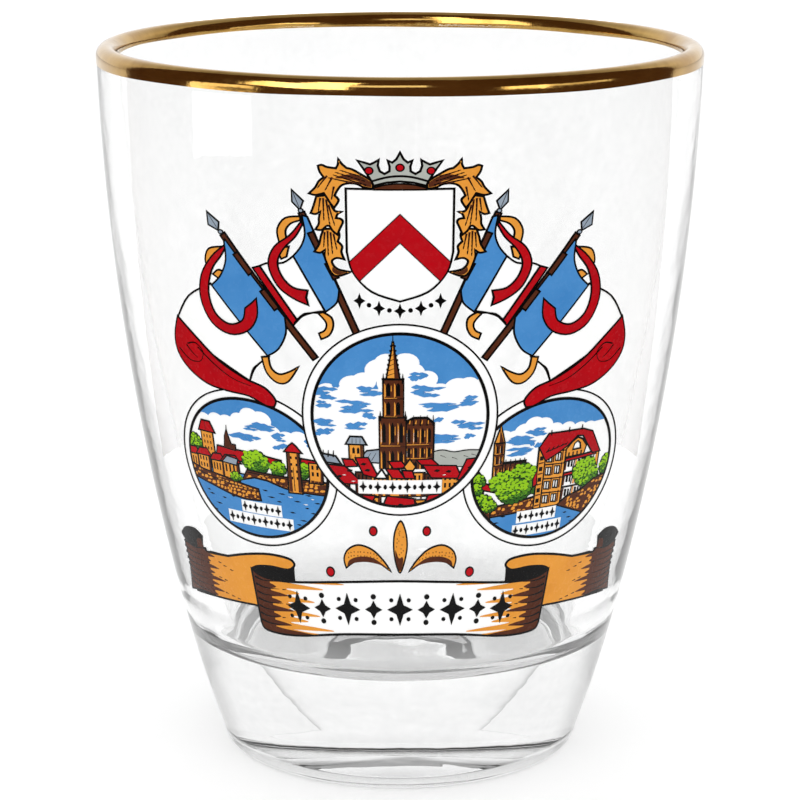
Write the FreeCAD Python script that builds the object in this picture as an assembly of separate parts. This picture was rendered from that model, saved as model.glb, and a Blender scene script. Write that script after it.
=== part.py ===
# Souvenir shot glass: pressed glass body, fired gold lip band and fired enamel decoration.
# The frame is +Z up, in millimetres. The origin is the centre of the foot ring, on the table plane,
# and the middle of the decoration faces -Y.

import FreeCAD
import Part
import math
import os

from FreeCAD import Vector

Vector2 = FreeCAD.Base.Vector2d

# Glass body
height = 60.0
mouthRadius = 25.0        # outside, where the round of the lip starts
kneeRadius = 18.7         # outside, where the foot flare meets the cup wall
kneeHeight = 12.0
footRadius = 15.1         # outside, before the heel is rounded
cupBulge = 1.3            # how far the cup wall bows out from knee to mouth
footBulge = 0.17          # how far the foot flare bows out from table to knee
lipWall = 1.7             # wall at the lip, whose round is half of it
middleWall = 2.3          # wall half way up the cup
floorWall = 3.2           # wall at the cavity floor
baseThickness = 10.0      # table to the edge of the cavity floor
floorDish = 0.5           # how much lower the floor is at its centre
floorRound = 2.6
heelRound = 0.9
footRingWidth = 8.1       # the flat ring that the glass stands on, before the heel round
puntDepth = 1.3           # height of the shallow dome under the base
puntRound = 0.4

# Films, drawn a little thicker than the fired ones so that their solids mesh cleanly
goldFilm = 0.04
whiteFilm = 0.05
inkFilm = 0.05

# Gold lip band
goldOutside = 0.5         # how far it comes down outside, from where the round of the lip starts
goldInside = 0.15         # how far it comes down inside

# Decoration sheet. Outlines below are drawn on the unrolled sheet: x along the wall, z up.
sheetRadius = 22.0        # x over this radius is the angle round the glass
sheetBottom = 14.0        # lowest drawn z
sheetTop = 54.6           # highest drawn z
gapAboveKnee = 2.0        # bare wall between the knee and the sheet
gapBelowTop = 5.4         # bare wall between the sheet and the top of the lip
frontAngle = 1.5 * math.pi

lineWidth = 0.18
ringLine = 0.28
ringWhite = 0.5
tinyEdge = 0.03           # shorter edges, left where outlines cross, are closed up
curveStep = 0.6           # spacing of the points that carry a curve on to the wall
tinyFace = 0.02           # smaller scraps of ink, in square mm, are dropped
tinyWidth = 0.05          # and so are thinner slivers
spareWall = 0.1           # the wrapping surface stops this short of the knee and the lip


# ---------------------------------------------------------------- profile of the glass

def bowedMiddle(low, high, bulge):
    chord = high - low
    outward = Vector(chord.z, 0, -chord.x)
    outward.normalize()
    return (low + high) * 0.5 + outward * bulge


lipRadius = lipWall / 2
lipHeight = height - lipRadius
footPoint = Vector(footRadius, 0, 0)
kneePoint = Vector(kneeRadius, 0, kneeHeight)
mouthPoint = Vector(mouthRadius, 0, lipHeight)
footMiddle = bowedMiddle(footPoint, kneePoint, footBulge)
cupMiddle = bowedMiddle(kneePoint, mouthPoint, cupBulge)
cupCircle = Part.ArcOfCircle(kneePoint, cupMiddle, mouthPoint)
cupCentre = cupCircle.Center
cupSweep = cupCircle.Radius


def wallPoint(z, out=0.0):
    # A point of the cup's outer wall, or of its offset by out.
    reach = (cupSweep + out) ** 2 - (z - cupCentre.z) ** 2
    return Vector(cupCentre.x + math.sqrt(reach), 0, z)


def innerPoint(z, wall):
    return wallPoint(z) - Vector(wall, 0, 0)


def lipPoint(degrees, out=0.0):
    # Angle 0 is outside, 90 on top, 180 inside.
    turn = math.radians(degrees)
    reach = lipRadius + out
    middle = mouthRadius - lipRadius
    return Vector(middle + reach * math.cos(turn), 0, lipHeight + reach * math.sin(turn))


innerMouth = lipPoint(180)
innerMiddleHeight = (baseThickness + lipHeight) / 2
innerMiddle = innerPoint(innerMiddleHeight, middleWall)
innerFloor = innerPoint(baseThickness + floorRound, floorWall)
innerArc = Part.ArcOfCircle(innerMouth, innerMiddle, innerFloor)


def innerWallPoint(z):
    reach = innerArc.Radius ** 2 - (z - innerArc.Center.z) ** 2
    return Vector(innerArc.Center.x + math.sqrt(reach), 0, z)


def arcEdge(first, middle, last):
    return Part.Arc(first, middle, last).toShape()


def lineEdge(first, last):
    return Part.LineSegment(first, last).toShape()


def spun(edges):
    face = Part.Face(Part.Wire(Part.sortEdges(edges)[0]))
    solid = face.revolve(Vector(0, 0, 0), Vector(0, 0, 1), 360)
    return Part.Solid(solid.Shells[0]) if solid.ShapeType != "Solid" else solid


def ringEdge(solid, radius, z):
    # The closed edge of the solid nearest to the circle of this radius at this height.
    def miss(edge):
        box = edge.BoundBox
        return abs(box.XMax - radius) + abs(box.ZMin - z) + abs(box.ZMax - z)
    return min(solid.Edges, key=miss)


def glassBody():
    corner = innerWallPoint(baseThickness)
    floorCentre = Vector(0, 0, baseThickness - floorDish)
    floorMiddle = Vector(corner.x / 2, 0, baseThickness - floorDish * 0.75)
    puntRadius = footRadius - footRingWidth
    puntEdge = Vector(puntRadius, 0, 0)
    puntMiddle = Vector(puntRadius / 2, 0, puntDepth * 0.75)
    puntTop = Vector(0, 0, puntDepth)
    edges = [
        arcEdge(puntTop, puntMiddle, puntEdge),
        lineEdge(puntEdge, footPoint),
        arcEdge(footPoint, footMiddle, kneePoint),
        arcEdge(kneePoint, cupMiddle, mouthPoint),
        arcEdge(mouthPoint, lipPoint(90), innerMouth),
        arcEdge(innerMouth, innerWallPoint(innerMiddleHeight), corner),
        arcEdge(corner, floorMiddle, floorCentre),
        lineEdge(floorCentre, puntTop),
    ]
    body = spun(edges)
    body = body.makeFillet(floorRound, [ringEdge(body, corner.x, baseThickness)])
    body = body.makeFillet(heelRound, [ringEdge(body, footRadius, 0)])
    return body.makeFillet(puntRound, [ringEdge(body, puntRadius, 0)])


def goldRimBand():
    low = lipHeight - goldOutside
    innerLow = lipHeight - goldInside
    outer = [wallPoint(low), wallPoint((low + lipHeight) / 2), mouthPoint]
    inner = [innerMouth, innerWallPoint((innerLow + lipHeight) / 2), innerWallPoint(innerLow)]
    side = Vector(goldFilm, 0, 0)
    edges = [
        arcEdge(*outer),
        arcEdge(mouthPoint, lipPoint(90), innerMouth),
        arcEdge(*inner),
        lineEdge(inner[2], inner[2] - side),
        arcEdge(inner[2] - side, inner[1] - side, lipPoint(180, goldFilm)),
        arcEdge(lipPoint(180, goldFilm), lipPoint(90, goldFilm), lipPoint(0, goldFilm)),
        arcEdge(lipPoint(0, goldFilm), outer[1] + side, outer[0] + side),
        lineEdge(outer[0] + side, outer[0]),
    ]
    return spun(edges)


# ---------------------------------------------------------------- wrapping the sheet

def sheetToWall(z):
    low = kneeHeight + gapAboveKnee
    high = height - gapBelowTop
    return low + (z - sheetBottom) * (high - low) / (sheetTop - sheetBottom)


def wrapSurface(out):
    low = wallPoint(kneeHeight + spareWall, out)
    middle = wallPoint((kneeHeight + lipHeight) / 2, out)
    high = wallPoint(lipHeight - spareWall, out)
    arc = Part.ArcOfCircle(low, middle, high)
    return arc, Part.SurfaceOfRevolution(arc, Vector(0, 0, 0), Vector(0, 0, 1))


def edgePoints(edge):
    flat = edge.Curve.TypeId in ("Part::GeomLine", "Part::GeomLineSegment")
    return edge.discretize(2 if flat else 3 + int(edge.Length / curveStep))


def loopPoints(loop, outer):
    # The loop's corners in order, the outer loop turning left and a hole turning right.
    runs = [edgePoints(e) for e in Part.sortEdges(loop.Edges)[0] if e.Length > tinyEdge]
    if len(runs) > 1:
        ends = (runs[1][0], runs[1][-1])
        if min(map(runs[0][0].distanceToPoint, ends)) < min(map(runs[0][-1].distanceToPoint, ends)):
            runs[0] = runs[0][::-1]
    points = list(runs[0][:-1])
    here = runs[0][-1]
    for run in runs[1:]:
        if here.distanceToPoint(run[0]) > here.distanceToPoint(run[-1]):
            run = run[::-1]
        points += run[:-1]
        here = run[-1]
    area = sum(a.x * b.z - b.x * a.z for a, b in zip(points, points[1:] + points[:1]))
    return points if (area > 0) == outer else points[::-1]


def wrapLoop(points, out, arc, surface):
    # The loop laid on the wall, as straight steps in the wall's own angle and height.
    marks = []
    for p in points:
        along = arc.parameter(wallPoint(sheetToWall(p.z), out))
        marks.append(Vector2(frontAngle + p.x / sheetRadius, along))
    steps = zip(marks, marks[1:] + marks[:1])
    return [Part.Geom2d.Line2dSegment(a, b).toShape(surface) for a, b in steps]


def wrapFace(face, low, high):
    # The film of a flat face of the sheet, from low to high above the glass.
    loops = [loopPoints(face.OuterWire, True)]
    loops += [loopPoints(w, False) for w in face.Wires if not w.isSame(face.OuterWire)]
    layers = [(low,) + wrapSurface(low), (high,) + wrapSurface(high)]
    walls = []
    rims = []
    for points in loops:
        pair = [wrapLoop(points, *layer) for layer in layers]
        walls += [Part.makeRuledSurface(a, b) for a, b in zip(*pair)]
        rims.append([Part.Wire(edges) for edges in pair])
    skins = []
    for i, layer in enumerate(layers):
        skin = Part.Face(layer[2], rims[0][i])
        if len(rims) > 1:
            skin.cutHoles([rim[i] for rim in rims[1:]])
        skins.append(skin)
    joined = Part.Compound(skins + walls)
    joined.sewShape()
    film = Part.Solid(joined.Shells[0])
    if film.Volume < 0:
        film.reverse()
    return film


# ---------------------------------------------------------------- drawing on the sheet

sheetPlane = Part.Plane(Vector(0, 0, 0), Vector(0, -1, 0))


def flatFace(wire):
    return Part.Face(sheetPlane, wire)


def outline(start, *stretches):
    # Each stretch goes on from the last point: 1 point a line, 2 an arc, more a smooth curve.
    edges = []
    here = Vector(start[0], 0, start[1])
    first = here
    for stretch in stretches:
        points = [here] + [Vector(x, 0, z) for x, z in stretch]
        if len(points) == 2:
            edges.append(lineEdge(*points))
        elif len(points) == 3:
            edges.append(arcEdge(*points))
        else:
            curve = Part.BSplineCurve()
            curve.interpolate(points)
            edges.append(curve.toShape())
        here = points[-1]
    if here.distanceToPoint(first) > 1e-6:
        edges.append(lineEdge(here, first))
    return flatFace(Part.Wire(edges))


def polygon(*points):
    return outline(points[0], *[[p] for p in points[1:]])


def box(x0, x1, z0, z1):
    return polygon((x0, z0), (x1, z0), (x1, z1), (x0, z1))


def circle(x, z, radius):
    return flatFace(Part.Wire(Part.makeCircle(radius, Vector(x, 0, z), Vector(0, 1, 0))))


def ellipse(x, z, a, b):
    centre = Vector(x, 0, z)
    side = Vector(x + a, 0, z)
    top = Vector(x, 0, z + b)
    curve = Part.Ellipse(side, top, centre) if a > b else Part.Ellipse(top, side, centre)
    return flatFace(Part.Wire(curve.toShape()))


def lozenge(x, z, a, b):
    return polygon((x - a, z), (x, z - b), (x + a, z), (x, z + b))


def bar(x0, z0, x1, z1, width):
    run = Vector(x1 - x0, 0, z1 - z0)
    run.normalize()
    dx = run.z * width / 2
    dz = -run.x * width / 2
    return polygon((x0 - dx, z0 - dz), (x1 - dx, z1 - dz), (x1 + dx, z1 + dz), (x0 + dx, z0 + dz))


def mirror(face):
    return flatFace(face.OuterWire.mirror(Vector(0, 0, 0), Vector(1, 0, 0)))


def both(face):
    return [face, mirror(face)]


def bothSides(faces):
    return faces + [mirror(face) for face in faces]


def clip(faces, window):
    kept = []
    for face in faces:
        kept += face.common(window).Faces
    return kept


# ---------------------------------------------------------------- medallions

centreX, centreZ, centreA, centreB = 0.0, 33.45, 7.4, 7.9
sideX, sideZ, sideA, sideB = 12.2, 28.6, 7.4, 6.6


def medallion(x, z, a, b, scene):
    # Thin outer line, white ring, thick inner line, then the scene clipped to the window.
    inset = lineWidth + ringWhite
    window = inset + ringLine
    opening = ellipse(x, z, a - window, b - window)
    plies = [("line_print", [ellipse(x, z, a, b)])]
    plies.append(("white", [ellipse(x, z, a - lineWidth, b - lineWidth)]))
    plies.append(("line_print", [ellipse(x, z, a - inset, b - inset)]))
    plies.append(("white", [opening]))
    return plies + [(node, clip(faces, opening)) for node, faces in scene]


def label(x, z, width, tall, beads):
    pitch = width / (beads + 1)
    start = x - width / 2
    ornament = [lozenge(start + (i + 1) * pitch, z, pitch * 0.3, tall * 0.26) for i in range(beads)]
    return [
        ("white", [box(start, x + width / 2, z - tall / 2, z + tall / 2)]),
        ("line_print", ornament),
    ]


def cathedralScene():
    sky = outline((-8, 36.3), [(-5.4, 36.6), (-4.0, 36.3), (-2.3, 37.6), (0, 39.1), (1.6, 37.9),
                               (3.2, 36.6), (5.0, 37.0), (8, 36.9)], [(8, 42)], [(-8, 42)])
    streaks = [(-4.9, 35.5, 1.2), (-2.2, 35.8, 0.9), (-3.0, 34.5, 1.1), (-5.2, 33.1, 1.0),
               (-3.2, 33.0, 1.1), (1.2, 37.1, 0.8), (2.3, 35.7, 1.2), (3.9, 34.6, 1.7),
               (5.1, 33.1, 1.2), (3.2, 32.1, 1.2)]
    tower = [
        polygon((-0.85, 36.9), (-0.35, 40.2), (0.15, 36.9)),
        box(-1.2, 0.3, 33.8, 36.9),
        box(-1.5, 0.4, 29.4, 33.8),
        polygon((0.4, 29.4), (2.5, 29.4), (2.5, 33.4), (1.4, 33.9), (0.4, 33.4)),
        box(-3.9, -2.75, 29.4, 31.6),
    ]
    roofs = [
        polygon((-7, 29.9), (-4.6, 29.8), (-4.3, 30.1), (-2.9, 30.4), (-1.9, 28.9), (-2.2, 27.4),
                (-7, 27.9)),
        polygon((-0.9, 30.1), (1.2, 30.3), (2.6, 30.2), (3.3, 29.7), (4.6, 29.5), (7, 30.5),
                (7, 28.2), (4.6, 28.7), (0.9, 28.9), (-0.5, 28.9)),
        polygon((-1.4, 26.6), (-0.9, 27.3), (1.2, 27.0), (5.4, 27.9), (4.0, 25.5), (-1.4, 25.5)),
    ]
    return [
        ("sky_print", [sky] + [ellipse(x, z, half, 0.16) for x, z, half in streaks]),
        ("hill_print", [outline((2.5, 29.6), [(2.5, 30.9)],
                                [(3.6, 31.1), (4.8, 30.8), (7, 30.9)], [(7, 29.6)])]),
        ("church_stone_print", tower),
        ("turret_roof_print", [polygon((-4.1, 31.6), (-3.8, 32.1), (-2.9, 32.1), (-2.6, 31.6))]),
        ("town_wall_print", [box(-7, 7, 25, 29.4)]),
        ("roof_print", roofs),
    ] + label(0, 28.0, 6.6, 1.3, 9)


def riverScene():
    x = -sideX
    sky = outline((x - 8, 32.4), [(x - 4.0, 32.8), (x - 1.6, 32.6), (x + 0.7, 33.7), (x + 2.6, 32.7),
                                  (x + 5.0, 31.9), (x + 8, 32.2)], [(x + 8, 36)], [(x - 8, 36)])
    water = outline((x - 8, 27.0), [(x - 4, 26.3), (x + 0.6, 26.0)],
                    [(x + 2.2, 27.7), (x + 4.0, 27.6)], [(x + 8, 27.5)], [(x + 8, 21)], [(x - 8, 21)])
    quay = polygon((x - 8, 28.4), (x - 2.6, 28.0), (x + 8, 28.4), (x + 8, 25), (x - 8, 25))
    houses = [
        box(x - 4.9, x - 3.5, 28.0, 31.2),
        box(x - 6.6, x - 1.2, 27.9, 29.3),
        polygon((x + 3.2, 27.5), (x + 4.6, 27.5), (x + 4.45, 30.6), (x + 3.35, 30.6)),
    ]
    roofs = [
        polygon((x - 5.0, 31.1), (x - 4.6, 32.1), (x - 3.8, 32.1), (x - 3.4, 31.1)),
        polygon((x + 3.2, 30.5), (x + 3.9, 31.3), (x + 4.6, 30.5)),
        polygon((x - 7, 29.2), (x - 3.0, 30.1), (x + 0.4, 30.0), (x + 2.9, 29.7), (x + 2.9, 28.7),
                (x - 1, 28.7), (x - 7, 28.8)),
        box(x + 4.7, x + 6.8, 28.5, 29.7),
    ]
    trees = [ellipse(x - 0.2, 29.4, 1.2, 0.8), ellipse(x - 5.9, 30.1, 0.8, 0.6),
             ellipse(x + 2.4, 29.1, 0.7, 0.6)]
    streaks = [(x + 0.9, 32.1, 1.3), (x - 0.6, 31.2, 1.4), (x + 4.8, 31.6, 1.2)]
    return [
        ("sky_print", [sky] + [ellipse(a, z, half, 0.16) for a, z, half in streaks]),
        ("quay_wall_print", [quay]),
        ("water_print", [water]),
        ("roof_print", roofs),
        ("town_wall_print", houses),
        ("roof_print", roofs[:2]),
        ("tree_print", trees),
    ] + label(x + 0.1, 25.3, 4.0, 1.1, 6) + label(x + 0.1, 24.0, 6.6, 1.1, 9)


def gardenScene():
    x = sideX
    sky = outline((x - 8, 32.3), [(x - 4.4, 32.4), (x - 1.8, 33.3), (x + 0.2, 32.3), (x + 2.2, 32.2),
                                  (x + 8, 31.9)], [(x + 8, 36)], [(x - 8, 36)])
    water = outline((x - 8, 25.0), [(x - 4.0, 25.2), (x + 0.4, 25.2), (x + 3.2, 24.6)],
                    [(x + 8, 24.0)], [(x + 8, 21)], [(x - 8, 21)])
    church = [
        polygon((x - 4.9, 28.4), (x - 4.9, 31.3), (x - 4.55, 32.7), (x - 4.1, 31.3), (x - 4.1, 28.4)),
        box(x - 4.1, x - 2.1, 28.4, 29.7),
    ]
    house = polygon((x - 1.0, 25.0), (x - 1.0, 30.6), (x + 1.6, 30.4), (x + 3.4, 30.6), (x + 5.2, 29.1),
                    (x + 5.4, 25.0))
    houseRoof = polygon((x - 1.0, 30.5), (x - 0.1, 31.7), (x + 3.9, 31.3), (x + 5.2, 29.1),
                        (x + 4.0, 29.3), (x + 3.2, 30.6), (x + 1.4, 29.9), (x - 0.5, 29.8))
    trees = [ellipse(x - 3.1, 27.6, 2.1, 1.5), ellipse(x - 6.1, 27.4, 0.9, 1.6),
             ellipse(x + 4.2, 27.6, 1.7, 1.3)]
    streaks = [(x - 1.8, 32.0, 1.0), (x - 2.9, 31.2, 1.4), (x - 2.8, 30.4, 1.2)]
    return [
        ("sky_print", [sky] + [ellipse(a, z, half, 0.16) for a, z, half in streaks]),
        ("quay_wall_print", [box(x - 8, x + 8, 24.2, 26.6)]),
        ("water_print", [water]),
        ("church_stone_print", church),
        ("town_wall_print", [house]),
        ("roof_print", [houseRoof]),
        ("tree_print", trees),
    ] + label(x - 0.5, 24.9, 4.0, 1.1, 6) + label(x - 0.5, 23.7, 4.8, 1.1, 7)


# ---------------------------------------------------------------- flags, one side; the other is its mirror

def outerFlag():
    blue = outline((-12.6, 47.1), [(-8.2, 41.4)], [(-8.6, 39.4), (-9.8, 38.3)], [(-14.1, 43.4)],
                   [(-12.9, 45.0), (-12.8, 47.0)])
    whitePanel = outline((-14.1, 43.4), [(-9.8, 38.3)], [(-11.0, 37.4), (-11.5, 36.2)], [(-18.0, 40.2)],
                         [(-16.6, 42.0), (-14.1, 43.4)])
    red = outline((-18.0, 40.2), [(-15.0, 38.0), (-11.6, 36.1), (-10.1, 35.5), (-9.5, 34.5)],
                  [(-9.7, 34.1), (-10.2, 34.2)],
                  [(-12.0, 34.9), (-14.4, 35.0), (-16.8, 35.8), (-18.4, 37.1), (-18.6, 38.4), (-18.0, 40.2)])
    ribbon = outline((-12.9, 46.6), [(-14.3, 45.6), (-15.4, 43.4), (-15.0, 40.9), (-12.8, 39.7),
                                     (-10.9, 40.6), (-10.4, 42.0), (-10.7, 42.8)],
                     [(-11.2, 41.9)], [(-11.6, 40.9), (-12.9, 40.4), (-14.3, 41.3), (-14.5, 43.3),
                                       (-13.7, 45.2), (-12.8, 46.4)])
    gold = [
        outline((-10.2, 38.0), [(-9.9, 36.6), (-9.0, 36.1), (-8.0, 36.6), (-7.4, 37.7)],
                [(-8.3, 37.1), (-9.2, 36.8), (-9.7, 37.4), (-9.7, 38.2)]),
        outline(
            (-13.2, 46.5), [(-14.4, 46.1), (-14.7, 44.9)],
            [(-14.1, 44.9)], [(-13.9, 45.7), (-13.1, 46.3)],
        ),
    ]
    return [
        ("pole_print", [bar(-12.9, 47.6, -6.1, 38.3, 0.42)]),
        ("flag_white", [whitePanel]),
        ("flag_red_print", [red]),
        ("flag_blue_print", [blue]),
        ("ribbon_gold_print", gold),
        ("ribbon_red_print", [ribbon]),
        ("spearhead_print", [polygon((-14.0, 49.1), (-14.0, 48.2), (-13.2, 47.9), (-13.1, 48.5))]),
    ]


def innerFlag():
    blue = outline((-6.5, 49.5), [(-4.2, 43.8)], [(-4.5, 42.7), (-5.2, 42.2)], [(-7.4, 46.4)],
                   [(-6.7, 47.7), (-6.6, 49.4)])
    whitePanel = outline((-7.4, 46.4), [(-5.2, 42.2)], [(-6.4, 41.9), (-7.3, 41.2)], [(-10.0, 45.4)],
                         [(-8.8, 45.7), (-7.4, 46.4)])
    red = polygon((-10.6, 45.1), (-10.0, 45.4), (-7.3, 41.2), (-7.6, 40.9))
    ribbon = outline((-6.7, 49.1), [(-8.0, 47.8), (-9.2, 46.6), (-9.2, 44.6), (-8.2, 43.2), (-6.5, 42.6)],
                     [(-6.5, 43.7)], [(-7.8, 43.9), (-8.5, 45.0), (-8.5, 46.2), (-7.4, 47.7), (-6.6, 49.0)])
    gold = [
        outline((-6.8, 49.4), [(-8.1, 49.2), (-8.6, 48.1), (-8.4, 47.3)], [(-7.9, 47.5)],
                [(-7.9, 48.4), (-6.9, 49.2)]),
        outline((-5.4, 42.1), [(-4.7, 41.6), (-4.9, 40.5), (-5.6, 40.0)], [(-5.5, 40.5)],
                [(-5.3, 41.2), (-5.8, 42.0)]),
    ]
    return [
        ("pole_print", [bar(-6.7, 49.8, -3.0, 40.5, 0.42)]),
        ("flag_white", [whitePanel]),
        ("flag_red_print", [red]),
        ("flag_blue_print", [blue]),
        ("ribbon_gold_print", gold),
        ("ribbon_red_print", [ribbon]),
        ("spearhead_print", [polygon((-7.3, 51.5), (-7.3, 50.6), (-6.8, 50.0), (-6.5, 50.6))]),
    ]


# ---------------------------------------------------------------- shield, crown and leaves

def shieldOutline(grow):
    half = 3.6 + grow
    return outline((-half, 51.75 + grow), [(-half, 46.6)], [(-2.5 - grow * 0.7, 44.15 - grow * 0.7),
                                                             (0, 43.1 - grow)],
                   [(2.5 + grow * 0.7, 44.15 - grow * 0.7), (half, 46.6)], [(half, 51.75 + grow)])


def shieldAndCrown():
    leaf = outline((-2.0, 52.15), [(-3.0, 53.1), (-4.1, 53.9)], [(-4.5, 53.3), (-5.5, 53.4)],
                   [(-5.3, 52.2), (-6.15, 51.2)], [(-5.6, 50.7), (-6.1, 49.9)], [(-5.6, 49.3), (-5.9, 48.5)],
                   [(-5.6, 47.6), (-5.95, 46.7)], [(-5.3, 46.3), (-5.0, 45.3), (-4.2, 44.9), (-3.5, 45.3)],
                   [(-4.3, 45.7), (-3.9, 46.8)], [(-4.4, 47.6), (-4.0, 48.5)], [(-4.3, 49.0), (-3.9, 49.8)],
                   [(-4.5, 50.4), (-4.0, 51.0), (-4.2, 51.9), (-3.4, 52.2)])
    half = [(-1.6, 52.2), (-1.75, 52.75), (-2.1, 53.1), (-2.75, 53.9), (-2.0, 53.75), (-1.15, 54.0),
            (-1.2, 53.3), (-0.95, 52.95), (-0.7, 53.35), (-0.75, 53.9), (-0.35, 54.05)]
    crown = polygon(*half, (0, 54.5), *[(-x, z) for x, z in reversed(half)])
    chevron = polygon((-5, 44.9), (0, 49.7), (5, 44.9), (5, 42.8), (0, 47.6), (-5, 42.8))
    jewels = [ellipse(-2.05, 53.1, 0.25, 0.24), ellipse(0, 53.4, 0.25, 0.24), ellipse(2.05, 53.1, 0.25, 0.24)]
    return [
        ("leaf_print", both(leaf)),
        ("line_print", [shieldOutline(lineWidth / 2)]),
        ("white", [shieldOutline(-lineWidth / 2)]),
        ("shield_chevron_print", clip([chevron], shieldOutline(-lineWidth / 2))),
        ("crown_cap_print", [box(-1.75, 1.75, 51.9, 52.2)]),
        ("crown_print", [crown]),
        ("jewel_print", jewels),
    ]


# ---------------------------------------------------------------- scroll and fleuron

def scroll():
    tail = outline((-16.2, 20.2), [(-12.5, 20.9), (-10.0, 21.2), (-9.2, 20.6)], [(-9.2, 16.0)],
                   [(-19.0, 15.8)], [(-19.0, 20.0)])
    end = outline((-22.6, 20.4), [(-19.4, 21.3)], [(-19.0, 20.0), (-18.6, 17.0), (-18.6, 16.6)],
                  [(-23.4, 15.8)], [(-22.6, 18.2), (-22.6, 20.4)])
    endInside = outline((-23.0, 20.9), [(-22.0, 20.2), (-20.6, 20.1), (-19.3, 21.5)],
                        [(-20.6, 21.9), (-22.4, 21.6), (-23.0, 20.9)])
    panel = outline((-13.7, 19.7), [(-9.4, 19.2), (-5.0, 19.6), (0, 19.95), (5.0, 19.6), (9.4, 19.2),
                                    (13.7, 19.7)], [(13.4, 14.3)],
                    [(10.0, 14.2), (5.0, 14.9), (0, 15.1), (-5.0, 14.9), (-10.0, 14.2), (-13.4, 14.3)])
    fold = outline((-13.7, 19.7), [(-11.2, 19.3), (-11.4, 17.0), (-11.0, 14.3)], [(-13.4, 14.3)])
    foldInside = outline((-13.6, 19.8), [(-11.4, 19.1), (-9.1, 19.3)], [(-9.1, 20.9)],
                         [(-11.0, 20.2), (-13.6, 19.8)])
    shade = outline((-12.4, 18.8), [(-5.0, 19.3)], [(-6.9, 18.4), (-8.2, 17.3), (-7.0, 16.0), (-5.0, 15.2)],
                    [(-12.4, 14.9)])
    bow = [(x * 1.62, 17.3 - 0.012 * abs(x) ** 2.2) for x in range(-5, 6)]
    ornament = []
    for i, (x, z) in enumerate(bow):
        ornament.append(lozenge(x, z, 0.62, 1.15) if i % 2 else circle(x, z, 0.34))
    return [
        ("scroll_end_print", both(end)),
        ("scroll_fold_print", both(tail)),
        ("line_print", both(endInside)),
        ("white", [panel]),
        ("scroll_shade_print", both(shade)),
        ("scroll_end_print", both(fold)),
        ("line_print", both(foldInside) + ornament),
    ]


def fleuron():
    middle = outline((0, 25.0), [(-0.55, 23.4), (-0.1, 20.6)], [(0.55, 23.4), (0, 25.0)])
    leaf = outline((-4.6, 21.0), [(-4.6, 22.0), (-3.2, 23.0), (-1.9, 22.3), (-0.8, 20.8)],
                   [(-2.4, 21.7), (-3.8, 21.4), (-4.6, 21.0)])
    return [
        ("fleuron_print", [middle] + both(leaf)),
        ("accent_dot_print", both(ellipse(-2.2, 24.2, 0.3, 0.36)) + both(ellipse(-5.9, 20.45, 0.34, 0.38))),
    ]


def lineArt():
    rings = medallion(-sideX, sideZ, sideA, sideB, riverScene())
    rings += medallion(sideX, sideZ, sideA, sideB, gardenScene())
    flags = [(node, bothSides(faces)) for node, faces in outerFlag() + innerFlag()]
    centre = medallion(centreX, centreZ, centreA, centreB, cathedralScene())
    return rings + flags + centre + shieldAndCrown() + scroll() + fleuron()


# ---------------------------------------------------------------- laying the inks side by side

def overlaps(a, b):
    return a.BoundBox.intersect(b.BoundBox)


def visibleFaces(plies):
    # Each face loses what later faces cover, so that the inks lie side by side.
    flat = [(node, face) for node, faces in plies for face in faces]
    kept = {}
    for i, (node, face) in enumerate(flat):
        over = [f for _, f in flat[i + 1:] if overlaps(f, face)]
        rest = face.cut(over) if over else face
        kept.setdefault(node, []).extend(f for f in rest.Faces if worthKeeping(f))
    return kept


def backingFaces():
    # The silhouette of the whole decoration, which the white is printed under.
    plies = shieldAndCrown() + scroll() + fleuron()
    plies += [(node, bothSides(faces)) for node, faces in outerFlag() + innerFlag()]
    shapes = [ellipse(centreX, centreZ, centreA, centreB)]
    shapes += both(ellipse(sideX, sideZ, sideA, sideB))
    shapes += [face for _, faces in plies for face in faces]
    return shapes


def union(faces):
    # Fused as plates, so that no inner edge is left, and then read back from their front.
    plates = [face.extrude(Vector(0, 1, 0)) for face in faces]
    fused = plates[0].fuse(plates[1:]).removeSplitter() if len(plates) > 1 else plates[0]
    return [face for face in fused.Faces if face.BoundBox.YMax < 0.5]


def worthKeeping(face):
    around = sum(edge.Length for edge in face.Edges)
    return face.Area > tinyFace and 2 * face.Area / around > tinyWidth


def films(faces, low, high):
    return Part.Compound([wrapFace(f, low, high) for f in union(faces) if worthKeeping(f)])


def save(name, shape):
    shape.exportStep(os.path.join("parts", name + ".step"))
    sound = shape.isValid() and all(s.Shells[0].isClosed() for s in shape.Solids)
    print(name, len(shape.Solids), "solids, sound", sound, "volume", round(shape.Volume, 3))


def main():
    os.makedirs("parts", exist_ok=True)
    save("glass_body", glassBody())
    save("gold_rim_band", goldRimBand())
    save("white_underprint", films(backingFaces(), 0.0, whiteFilm))
    for node, faces in visibleFaces(lineArt()).items():
        if node not in ("white", "flag_white"):
            save(node, films(faces, whiteFilm, whiteFilm + inkFilm))


main()
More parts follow.
